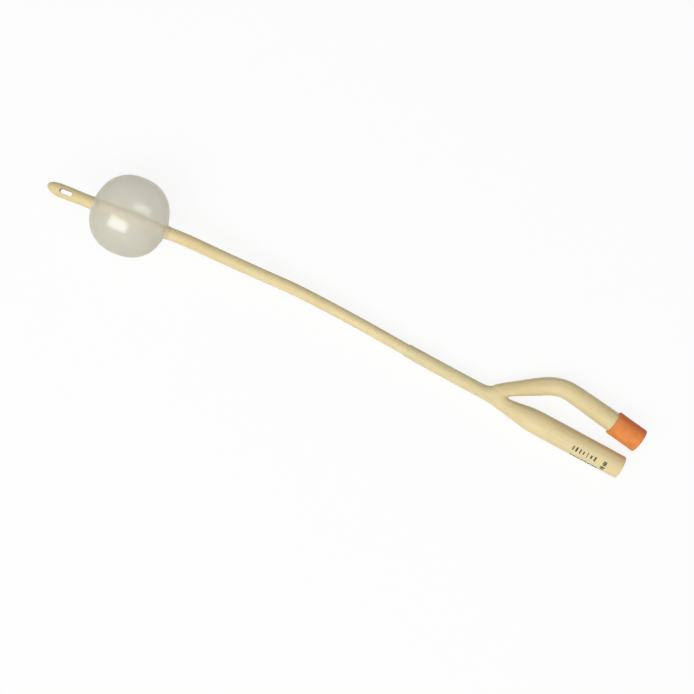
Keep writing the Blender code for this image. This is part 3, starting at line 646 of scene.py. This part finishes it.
def shape_neck():
    """The neck's cage: eight sides from the mouth to the oval rings of the fork."""
    rings = [(FORK + neck_axis(-NECK_LENGTH), NECK_MOUTH_RADIUS, NECK_MOUTH_RADIUS)]
    rings += [(FORK + neck_axis(x * MM), NECK_RADIUS, NECK_RADIUS) for x in (-30.6, -24.3, -18, -6)]
    for past, low, high in FORK_RINGS:
        centre = FORK + Vector((past * MM, (low + high) / 2 * MM, AXIS_HEIGHT))
        rings.append((centre, (high - low) / 2 * MM, NECK_RADIUS))
    body = first_ring("forked_body", 8, cage(rings[0][1], 8), rings[0][0], "NGON")
    choose(body, "edges", lambda edge: True)
    for (start, width, height), (end, next_width, next_height) in zip(rings, rings[1:]):
        pull(start, end, (1, next_width / width, next_height / height))
    return body, rings[-1][0]


def part_fork(body, centre):
    """Closes the neck's last ring with two faces that meet along the crotch, one for each branch."""
    bpy.ops.mesh.edge_face_add()

    def top_or_bottom(vert):
        return abs(vert.co.x - centre.x) < 1e-6 and abs(vert.co.y - centre.y) < 1e-6

    choose(body, "verts", top_or_bottom)
    bpy.ops.mesh.vert_connect()
    choose(body, "edges", lambda edge: all(top_or_bottom(vert) for vert in edge.verts))
    bpy.ops.mesh.subdivide(number_cuts=3)
    for rise in (1, 0, -1):
        height = AXIS_HEIGHT + rise * CROTCH_HALF_HEIGHT
        place = FORK + Vector((CROTCH_REACH - CROTCH_DIP * abs(rise), CROTCH_SIDE, height))
        quarter = centre + Vector((0, 0, rise * cage(NECK_RADIUS, 8) / 2))
        choose(body, "verts", lambda vert, at=quarter: (vert.co - at).length < 0.3 * MM)
        bpy.ops.transform.translate(value=place - quarter)


def raise_shoulder(body):
    """Lifts the arm's outer side a little where its sleeve begins, just past the neck."""
    for vert in body.data.vertices:
        spot = vert.co - FORK
        past = spot.x - SHOULDER_START
        if spot.y < 3 * MM or not 0 < past < 10.1 * MM:
            continue
        rise = smooth(min(1.0, past / (0.9 * MM)))
        fall = math.exp(-max(0.0, past - 0.9 * MM) / (2.4 * MM))
        outer = min(1.0, (spot.y - 3 * MM) / (1.5 * MM))
        vert.co.y += SHOULDER_HEIGHT * rise * fall * outer


def keep_grain(body):
    """Keeps each point's place along the arm, so that the latex's flow lines follow the arm as it turns."""
    stations = [ARM_ROOT + (ARM_LENGTH - ARM_ROOT) * i / 60 for i in range(61)]
    line = [(station, *arm_point(station)) for station in stations]
    trunk, arm, shares = [], [], []
    for vert in body.data.vertices:
        spot = vert.co
        distance, centre, heading = min(line, key=lambda row: (row[1] - spot).length_squared)
        aside = spot - centre
        reach = distance + aside.dot(ahead(heading))
        on_arm = aside.length < 6.2 * MM and spot.y - FORK.y > 4.6 * MM
        trunk.extend(spot - FORK)
        arm.extend((reach, aside.dot(leftward(heading)), aside.z))
        shares.append(share_of((reach - ARM_ROOT) / (9 * MM)) if on_arm else 0.0)
    keep(body, "straight", "FLOAT_VECTOR", trunk)
    keep(body, "along_arm", "FLOAT_VECTOR", arm)
    keep(body, "arm_share", "FLOAT", shares)


def round_ring(body, centre, heading, radius):
    """Rounds the selected eight-sided face to a ring, keeping the order of its corners."""
    shape = bmesh.from_edit_mesh(body.data)
    face = next(face for face in shape.faces if face.select)
    left = leftward(heading)
    corners = [loop.vert for loop in face.loops]
    top = max(corners, key=lambda vert: (vert.co.z, vert.co.x))
    first = corners.index(top)
    after = corners[(first + 2) % 8]
    way = 1 if (after.co - middle(face)).dot(left) > 0 else -1
    for k in range(8):
        angle = math.pi / 2 - way * math.tau * k / 8
        spot = left * math.cos(angle) + Vector((0, 0, math.sin(angle)))
        corners[(first + k) % 8].co = centre + spot * cage(radius, 8)
    bmesh.update_edit_mesh(body.data)


def grow_branch(body, on_side, rings):
    """Extrudes one of the fork's faces through (centre, heading, radius)."""
    choose(body, "faces", on_side)
    bpy.ops.mesh.extrude_region_move(TRANSFORM_OT_translate={"value": (1 * MM, 0, 0)})
    round_ring(body, *rings[0])
    pull_rings(rings)


def rim_rings(end, ease, inner):
    """Rings that turn an end in over a small round to the bore's edge."""
    centre, heading, radius = end
    rim = centre + ahead(heading) * ease
    return [(rim, heading, radius - ease), (rim, heading, inner)]


def funnel_rings():
    """The funnel from the fork out to its mouth and back down its bore."""
    outside = [(trunk_point(x), 0.0, radius * MM) for x, radius in FUNNEL_RINGS]
    inside = [(trunk_point(x), 0.0, radius * MM) for x, radius in FUNNEL_BORE]
    return [*outside, *rim_rings(outside[-1], FUNNEL_RIM, FUNNEL_MOUTH_RADIUS), *inside]


def arm_rings():
    """The arm from the fork out to its end and back down the bore that holds the plug."""
    grip = ARM_LENGTH - RING_LENGTH
    spots = [ARM_ROOT, (ARM_ROOT + ARM_MIDDLE) / 2 - 4 * MM, ARM_MIDDLE - 9 * MM]
    spots += [ARM_MIDDLE + step * MM for step in (-5, -2, 2, 5)]
    spots += [(ARM_MIDDLE + grip) / 2, grip, grip + 2 * MM, ARM_LENGTH - 2.5 * MM, ARM_LENGTH - 1.6 * MM]
    outside = [(*arm_point(spot), arm_radius(spot)) for spot in spots]
    inside = [(*arm_point(ARM_LENGTH - depth), ARM_BORE_RADIUS) for depth in (2.2 * MM, ARM_BORE_DEPTH)]
    inside.append((*arm_point(ARM_LENGTH - 22 * MM), 1.6 * MM))
    return [*outside, *rim_rings(outside[-1], ARM_RIM, ARM_BORE_RADIUS), *inside]


def open_socket(body):
    """Opens the neck's mouth for the tube."""
    choose(body, "faces", lambda face: face.normal.x < -0.9 and middle(face).x < FORK.x - 35 * MM)
    mouth = FORK + neck_axis(-NECK_LENGTH)
    pull(mouth, mouth - Vector((0.02 * MM, 0, 0)), (1, 0.985, 0.985))
    narrower = SOCKET_RADIUS * 0.95 / (2.93 * MM)
    pull(mouth, mouth, (1, narrower, narrower))
    pull(mouth, mouth + Vector((0.8 * MM, 0, 0)))


def join_bores(body):
    """Cuts the tube's socket, and the ways on from it into the funnel and into the arm."""
    spots = (-NECK_LENGTH / MM - 2, -36, -30, -24, -18, -12, -6, 0, 7.3)
    bore_out(body, [(FORK + neck_axis(x * MM), 0.0, SOCKET_RADIUS) for x in spots], 48)
    seat = trunk_point(6) + Vector((0, NECK_SIDESTEP, 0)) + LUMEN_SHIFT
    bore_out(body, [(seat, 0.0, THROAT_RADIUS), (trunk_point(10.5), 0.0, THROAT_RADIUS)])
    reach = ARM_LENGTH - 19 * MM
    stations = [AIR_WAY_START + (reach - AIR_WAY_START) * i / 16 for i in range(17)]
    radii = [AIR_WAY_RADIUS + AIR_WAY_WIDENING * station / reach for station in stations]
    bore_out(body, [(*arm_point(station), radius) for station, radius in zip(stations, radii)])


def make_body():
    body, trunk_end = shape_neck()
    part_fork(body, trunk_end)

    def at_fork(face, side):
        """Whether a face is the fork's own on one side of the crotch."""
        place = middle(face) - FORK
        return len(face.verts) == 8 and abs(place.x) < 12 * MM and (place.y - 4 * MM) * side > 0

    grow_branch(body, lambda face: at_fork(face, 1), arm_rings())
    grow_branch(body, lambda face: at_fork(face, -1), funnel_rings())
    open_socket(body)
    soften(body, 3)
    raise_shoulder(body)
    join_bores(body)
    tidy(body, 60)
    keep_grain(body)
    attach(body, "root")
    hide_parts("funnel_body")
    return body


# Valve


def make_ring():
    """The coloured ring: a sleeve with eased edges and a slight waist, grown round to its own start."""
    sides = 32
    waist = RING_RADIUS - RING_WAIST
    half = [(0, RING_RADIUS - RING_EDGE), (0.1 * MM, RING_RADIUS - 0.1 * MM), (RING_EDGE, RING_RADIUS)]
    half += [(1.4 * MM, RING_RADIUS), (RING_LENGTH * 0.35, waist)]
    rows = [(0, RING_INSIDE), *[(-x, radius) for x, radius in half]]
    rows += [(x - RING_LENGTH, radius) for x, radius in half[::-1]]
    rows += [(-RING_LENGTH, RING_INSIDE), (0.4 * MM - RING_LENGTH, RING_INSIDE), (-0.4 * MM, RING_INSIDE)]
    rows.append((0, RING_INSIDE))
    stations = [(x, cage(radius, sides)) for x, radius in rows]
    ring = first_ring("valve_ring_sleeve", sides, stations[0][1], (0, 0, 0))
    pull_along(stations)
    tidy(ring)
    soften(ring, 1)
    ring.matrix_world = along_arm_end()
    settle(ring)
    tidy(ring, 50)
    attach(ring, "root")
    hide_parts("valve_ring")
    return ring


def make_plug():
    """The soft valve plug: a flanged body with a luer socket, slit at its far end."""
    sides = 32
    stations = [(x * MM, cage(radius * MM, sides)) for x, radius in PLUG_RINGS]
    plug = first_ring("valve_plug_rubber", sides, stations[0][1], (stations[0][0], 0, 0))
    pull_along(stations)
    choose(plug, "edges", lambda edge: edge.is_boundary)
    bpy.ops.mesh.bridge_edge_loops()
    choose(plug, "verts", lambda vert: math.hypot(vert.co.y, vert.co.z) < SLIT_REACH)
    bpy.ops.transform.resize(value=SLIT_SQUEEZE, center_override=(0, 0, 0))
    tidy(plug)
    soften(plug, 1)
    plug.matrix_world = along_arm_end()
    settle(plug)
    tidy(plug, 50)
    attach(plug, "root")
    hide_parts("valve_plug")
    return plug


# Print on the funnel


def stroke(x, angle, length, width):
    """One printed stroke, bent to the funnel's curve."""
    put_down()
    bpy.ops.mesh.primitive_plane_add(size=1, location=(0, 0, 0))
    mark = bpy.context.object
    bpy.ops.object.mode_set(mode="EDIT")
    bpy.ops.mesh.select_all(action="SELECT")
    bpy.ops.transform.resize(value=(length * MM, width * MM, 1))
    bpy.ops.mesh.bevel(offset=STROKE_ROUNDING, segments=2, affect="VERTICES")
    put_down()
    shape = bmesh.new()
    shape.from_mesh(mark.data)
    bmesh.ops.triangulate(shape, faces=shape.faces)
    bmesh.ops.subdivide_edges(shape, edges=shape.edges, cuts=2, use_grid_fill=True)
    for vert in shape.verts:
        turn = math.radians(angle) + vert.co.y / FUNNEL_RADIUS
        round_place = Vector((vert.co.x, math.sin(turn) * FUNNEL_RADIUS, math.cos(turn) * FUNNEL_RADIUS))
        vert.co = trunk_point(x) + round_place
    shape.to_mesh(mark.data)
    shape.free()
    return mark


def print_marks(body):
    """Rows of plain strokes where the funnel is printed, pressed on to its skin."""
    marks = [stroke(*sizes) for sizes in PRINT]
    put_down()
    for mark in marks:
        mark.select_set(True)
    bpy.context.view_layer.objects.active = marks[0]
    bpy.ops.object.join()
    ink = bpy.context.object
    ink.name = ink.data.name = "funnel_marks"
    finish_with(
        ink, "SHRINKWRAP", target=body, wrap_method="NEAREST_SURFACEPOINT",
        wrap_mode="ABOVE_SURFACE", offset=INK_GAP,
    )
    finish_with(ink, "SOLIDIFY", thickness=INK_THICKNESS, offset=1)
    settle(ink)
    tidy(ink, 50)
    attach(ink, "root")
    return ink


# Finishes


class Value:
    """A socket of a finish that takes part in sums: an expression on values adds its Math nodes."""

    def __init__(self, finish, socket):
        self.finish = finish
        self.socket = socket

    def sum(self, operation, *values):
        sockets = {i: value for i, value in enumerate(values)}
        return self.finish.node("ShaderNodeMath", {"operation": operation}, sockets)

    def __add__(self, other):
        return self.sum("ADD", self, other)

    def __radd__(self, other):
        return self.sum("ADD", other, self)

    def __sub__(self, other):
        return self.sum("SUBTRACT", self, other)

    def __rsub__(self, other):
        return self.sum("SUBTRACT", other, self)

    def __mul__(self, other):
        return self.sum("MULTIPLY", self, other)

    def __rmul__(self, other):
        return self.sum("MULTIPLY", other, self)

    def __truediv__(self, other):
        return self.sum("DIVIDE", self, other)

    def __rtruediv__(self, other):
        return self.sum("DIVIDE", other, self)

    def __pow__(self, other):
        return self.sum("POWER", self, other)

    def __rpow__(self, other):
        return self.sum("POWER", other, self)

    def clamped(self):
        return self.sum("MINIMUM", self.sum("MAXIMUM", self, 0.0), 1.0)


class Finish:
    """A material, or the world, and the nodes laid down for it."""

    def __init__(self, owner):
        self.owner = owner
        owner.use_nodes = True
        self.tree = owner.node_tree
        self.tree.nodes.clear()

    def node(self, kind, settings=None, sockets=None, output=0):
        """Adds a node: its settings first, then the values or links of its sockets."""
        made = self.tree.nodes.new(kind)
        for key, value in (settings or {}).items():
            setattr(made, key, value)
        for key, value in (sockets or {}).items():
            socket = made.inputs[key] if isinstance(key, int) else self.find(made.inputs, key)
            if isinstance(value, Value):
                self.tree.links.new(value.socket, socket)
            else:
                socket.default_value = value
        if output is not None:
            return Value(self, made.outputs[output] if output == 0 else self.find(made.outputs, output))

    def find(self, sockets, key):
        return next(s for s in sockets if key == s.identifier or (key == s.name and s.enabled))

    def object_place(self):
        return self.node("ShaderNodeTexCoord", output="Object")

    def kept(self, attribute, output="Vector"):
        """What was kept on the piece's own points, such as where each was before the piece was bent."""
        return self.node("ShaderNodeAttribute", {"attribute_name": attribute}, output=output)

    def stretch(self, place, scale):
        return self.node("ShaderNodeMapping", sockets={"Vector": place, "Scale": scale})

    def noise(self, place, scale, detail=3.0, roughness=0.5):
        sockets = {"Vector": place, "Scale": scale, "Detail": detail, "Roughness": roughness}
        return self.node("ShaderNodeTexNoise", sockets=sockets)

    def blend(self, share, first, second):
        settings = {"data_type": "RGBA", "blend_type": "MIX"}
        sockets = {"Factor_Float": share, "A_Color": first, "B_Color": second}
        return self.node("ShaderNodeMix", settings, sockets, "Result_Color")

    def between(self, value, low, high):
        """A value's rise from low to high as a share from 0 to 1."""
        return ((value - low) / (high - low)).clamped()

    def bump(self, height, strength, distance):
        sockets = {"Height": height, "Strength": strength, "Distance": distance}
        return self.node("ShaderNodeBump", sockets=sockets)

    def skin(self, **sockets):
        named = {key.replace("_", " "): value for key, value in sockets.items()}
        return self.node("ShaderNodeBsdfPrincipled", sockets=named)

    def split(self, place, axis):
        return self.node("ShaderNodeSeparateXYZ", sockets={"Vector": place}, output=axis)

    def mix(self, share, first, second):
        return self.node("ShaderNodeMixShader", sockets={0: share, 1: first, 2: second})

    def close(self, shader, kind="Material"):
        self.node("ShaderNodeOutput" + kind, sockets={"Surface": shader}, output=None)
        return self.owner


def finish(name):
    return Finish(bpy.data.materials.new(name))


def colour(red, green, blue):
    """A colour as it looks on a screen, from 0 to 255, as the linear values a shader takes."""
    levels = [level / 255 for level in (red, green, blue)]
    linear = [level / 12.92 if level <= 0.04045 else ((level + 0.055) / 1.055) ** 2.4 for level in levels]
    return (*linear, 1.0)


def latex(name, branched):
    """Dipped latex: cream that turns honey in clouds, with flow lines, pale specks and a fine satin skin."""
    f = finish(name)
    place = f.kept("straight")
    broad = f.noise(f.stretch(place, (0.35, 1, 1)), 130, 2)
    cloud = f.noise(f.stretch(place, (0.6, 1, 1)), 420, 3)
    flow = f.noise(f.stretch(place, (0.06, 1, 1)), 1100, 3)
    if branched:
        arm_flow = f.noise(f.stretch(f.kept("along_arm"), (0.06, 1, 1)), 1100, 3)
        flow = flow + (arm_flow - flow) * f.kept("arm_share", "Fac")
    fine = f.noise(place, 4200, 2)
    cream = f.blend(f.between(broad, 0.35, 0.65), colour(229, 212, 165), colour(223, 204, 154))
    tone = f.blend(f.between(cloud, 0.48, 0.72) * 0.22, cream, colour(210, 188, 134))
    tone = f.blend(f.between(flow, 0.52, 0.72) * 0.26, tone, colour(240, 227, 190))
    tone = f.blend(f.between(flow, 0.48, 0.28) * 0.2, tone, colour(208, 186, 132))
    tone = f.blend(f.between(fine, 0.6, 0.78) * 0.3, tone, colour(244, 236, 210))
    if not branched:
        apart = f.split(place, "X")
        covered = f.between(apart, 20.2 * MM, 21.4 * MM) * (1 - f.between(apart, 54.2 * MM, 55.4 * MM))
        tone = f.blend((1 - f.between(apart, 12 * MM, 30 * MM)) * 0.5, tone, colour(216, 197, 144))
        side = f.split(place, "Y")
        # Painted shade on the walls of the punched eyes: dark brown inside each eye's outline, fading out
        # over its eased lip.
        from_middle = apart.sum("ABSOLUTE", apart - EYE_FROM_TIP)
        past = apart.sum("MAXIMUM", from_middle - (EYE_LENGTH - EYE_WIDTH) / 2, 0.0)
        from_eye = (past * past + side * side) ** 0.5
        tone = f.blend(f.between(from_eye, 1.22 * MM, 1.0 * MM) * 0.75, tone, colour(128, 108, 72))
        # Under the balloon the tube is painted paler, painted light for the glow that the milky wall scatters
        # on to it, and painted darker along its +Y side, away from the light, as painted shade.
        pale = f.blend(f.between(side, 0.9 * MM, 2.3 * MM), colour(243, 229, 212), colour(212, 196, 180))
        tone = f.blend(covered, tone, pale)
    height = flow * 0.7 + cloud * 0.5 + fine * 0.16
    skin = f.skin(
        Base_Color=tone, Roughness=0.36 + cloud * 0.16 + fine * 0.05, IOR=1.5, Specular_IOR_Level=0.35,
        Subsurface_Weight=0.3, Subsurface_Radius=(1.0, 0.72, 0.38), Subsurface_Scale=0.0012,
        Normal=f.bump(height, 0.45, 0.0001),
    )
    return f.close(skin)


def membrane():
    """The balloon's stretched wall: milky and glossy outside, clear and wet inside, thin where it grips."""
    f = finish("balloon_membrane_milky")
    place = f.kept("straight")
    cloud = f.noise(place, 75, 3)
    streak = f.noise(f.stretch(place, (0.25, 1, 1)), 300, 2)
    outer = 1 - f.kept("inner_side", "Fac")
    edge = f.node("ShaderNodeLayerWeight", sockets={"Blend": 0.5}, output="Facing")
    across = f.node("ShaderNodeVectorMath", {"operation": "MULTIPLY"}, {0: place, 1: (0, 1, 1)}, "Vector")
    radius = f.node("ShaderNodeVectorMath", {"operation": "LENGTH"}, {0: across}, "Value")
    swollen = f.between(radius, 3.3 * MM, 5.5 * MM)
    along = f.split(place, "X")
    height = f.split(place, "Z")
    held = (1 - f.between(along, 17.2 * MM, 19.4 * MM)) * (1 - f.between(along, -17.1 * MM, -17.8 * MM))
    tone = f.blend(f.between(cloud, 0.3, 0.7), colour(222, 220, 199), colour(210, 207, 183))
    tone = f.blend(swollen, colour(226, 217, 208), tone)
    relief = f.bump(cloud + streak * 0.3, 0.12, 0.0002)
    milky = 0.19 + cloud * 0.2 + edge**4 * 0.55
    cover = (0.06 + (milky - 0.06) * outer) * (0.65 * held + (1 - 0.65 * held) * swollen)
    skin = f.skin(
        Base_Color=tone, Roughness=0.5, Specular_IOR_Level=0.35, Alpha=cover.clamped(), Normal=relief
    )
    glow = f.node("ShaderNodeBsdfTranslucent", sockets={"Color": colour(238, 235, 217)})
    shine = f.node("ShaderNodeBsdfGlossy", sockets={"Roughness": 0.16, "Normal": relief})
    wall = f.mix(outer * swollen * 0.38, skin, glow)
    wet = f.between(height, 0.0, -7 * MM) * (1 - outer)
    gloss = 0.004 + swollen * (0.14 - outer * 0.055 + wet * 0.26)
    return f.close(f.mix(gloss, wall, shine))


def orange_rubber():
    """Coloured rubber with a satin skin, faint clouding and paler rubs, with painted shade: a deeper, redder
    orange along the side away from the light, darkest at its outer edge.
    """
    f = finish("ring_orange_rubber")
    place = f.object_place()
    centre, heading = arm_point(ARM_LENGTH)
    left = leftward(heading)
    across = f.node("ShaderNodeVectorMath", {"operation": "DOT_PRODUCT"}, {0: place, 1: tuple(left)}, "Value")
    aside = across - centre.dot(left)
    cloud = f.noise(place, 260, 3)
    fine = f.noise(place, 2600, 3)
    tone = f.blend(f.between(cloud, 0.35, 0.7), colour(236, 145, 76), colour(226, 130, 62))
    # Painted shade: deeper orange towards the arm's left side, away from the light, and a dark red band at
    # that side's outer edge.
    tone = f.blend(f.between(aside, 1.6 * MM, 5.4 * MM) * 0.85, tone, colour(221, 92, 48))
    tone = f.blend(f.between(aside, 4.3 * MM, 5.7 * MM) * 0.7, tone, colour(168, 44, 32))
    tone = f.blend(f.between(fine, 0.58, 0.8) * 0.2, tone, colour(244, 170, 112))
    skin = f.skin(
        Base_Color=tone, Roughness=0.46 + fine * 0.14, Specular_IOR_Level=0.35, Subsurface_Weight=0.4,
        Subsurface_Radius=(1.0, 0.2, 0.07), Subsurface_Scale=0.002,
        Normal=f.bump(cloud * 0.4 + fine * 0.3, 0.4, 0.00005),
    )
    return f.close(skin)


def plug_rubber():
    f = finish("plug_pale_rubber")
    place = f.object_place()
    cloud = f.noise(place, 500, 3)
    fine = f.noise(place, 4000, 2)
    tone = f.blend(f.between(cloud, 0.3, 0.7), colour(224, 217, 200), colour(212, 203, 183))
    bump = f.bump(fine * 0.4 + cloud * 0.4, 0.35, 0.00005)
    return f.close(f.skin(Base_Color=tone, Roughness=0.5 + fine * 0.15, IOR=1.5, Normal=bump))


def printing_ink():
    """Dark ink that sits thin on the latex and breaks up a little."""
    f = finish("printed_ink")
    worn = f.noise(f.object_place(), 2600, 3)
    tone = f.blend(f.between(worn, 0.5, 0.75) * 0.6, colour(44, 37, 32), colour(82, 70, 56))
    return f.close(f.skin(Base_Color=tone, Roughness=0.45 + worn * 0.2, IOR=1.5))


# Room


def make_table():
    """A white table that shows white to the camera, darkened only by the catheter's soft shadow."""
    put_down()
    bpy.ops.mesh.primitive_plane_add(size=40, location=(0, 0, 0))
    table = bpy.context.object
    table.name = table.data.name = "white_table"
    f = finish("white_table_top")
    grain = f.noise(f.object_place(), 40, 2)
    tone = f.blend(grain, colour(240, 240, 239), colour(243, 243, 242))
    matt = f.node("ShaderNodeBsdfDiffuse", sockets={"Color": tone})
    white = f.node("ShaderNodeEmission", sockets={"Color": (1, 1, 1, 1), "Strength": 1.0})
    table.data.materials.append(f.close(f.mix(seen_directly(f) * TABLE_WHITE, matt, white)))


def seen_directly(f):
    """1 for the camera's own rays and for those that reach it through gloss or a clear wall."""
    path = "ShaderNodeLightPath"
    camera = f.node(path, output="Is Camera Ray")
    glossy = f.node(path, output="Is Glossy Ray")
    clear = f.node(path, output="Is Transmission Ray")
    return (camera + glossy + clear).clamped()


def make_room():
    """Dim air that lights the catheter softly, and shows white to the camera and in reflections."""
    world = bpy.data.worlds.new("pale_room")
    bpy.context.scene.world = world
    f = Finish(world)
    strength = AIR_LIGHT + seen_directly(f) * (1 - AIR_LIGHT)
    f.close(f.node("ShaderNodeBackground", sockets={"Color": (1, 1, 1, 1), "Strength": strength}), "World")


def make_softbox(name, target, way, level, size, power):
    """A rectangular softbox out along way from what it lights, with its long side nearly along level."""
    lamp = bpy.data.lights.new(name, "AREA")
    lamp.shape = "RECTANGLE"
    lamp.size, lamp.size_y = size
    lamp.energy = power
    light = bpy.data.objects.new(name, lamp)
    bpy.context.scene.collection.objects.link(light)
    back = way.normalized()
    side = (level - level.dot(back) * back).normalized()
    turn = Matrix((side, back.cross(side), back)).transposed().to_4x4()
    light.matrix_world = Matrix.Translation(target + way) @ turn
    return light


def make_camera():
    """Straight above the catheter, turned so that it runs down the picture from left to right."""
    lens = bpy.data.cameras.new("overhead_camera")
    camera = bpy.data.objects.new("overhead_camera", lens)
    bpy.context.scene.collection.objects.link(camera)
    lens.sensor_width = SENSOR_WIDTH
    lens.lens = FOCAL_LENGTH
    lens.clip_start, lens.clip_end = 0.01, 20
    camera.location = CAMERA_PLACE
    camera.rotation_euler = (0, 0, CAMERA_TURN)
    bpy.context.scene.camera = camera


def dress(piece, material):
    piece.data.materials.clear()
    piece.data.materials.append(material)


tube = make_tube()
balloon = make_balloon()
body = make_body()
ring = make_ring()
plug = make_plug()
ink = print_marks(body)

dress(tube, latex("tube_latex", branched=False))
dress(body, latex("body_latex", branched=True))
dress(balloon, membrane())
dress(ring, orange_rubber())
dress(plug, plug_rubber())
dress(ink, printing_ink())

make_table()
make_room()
make_softbox("front_softbox", KEY_TARGET, KEY_WAY, ahead(KEY_LEVEL), KEY_SIZE, KEY_POWER)
fill = make_softbox("top_fill", Vector((0, 0, 0)), FILL_WAY, ahead(0.0), FILL_SIZE, FILL_POWER)
fill.visible_glossy = False
make_camera()
bpy.context.scene.view_settings.view_transform = "Standard"
put_down()
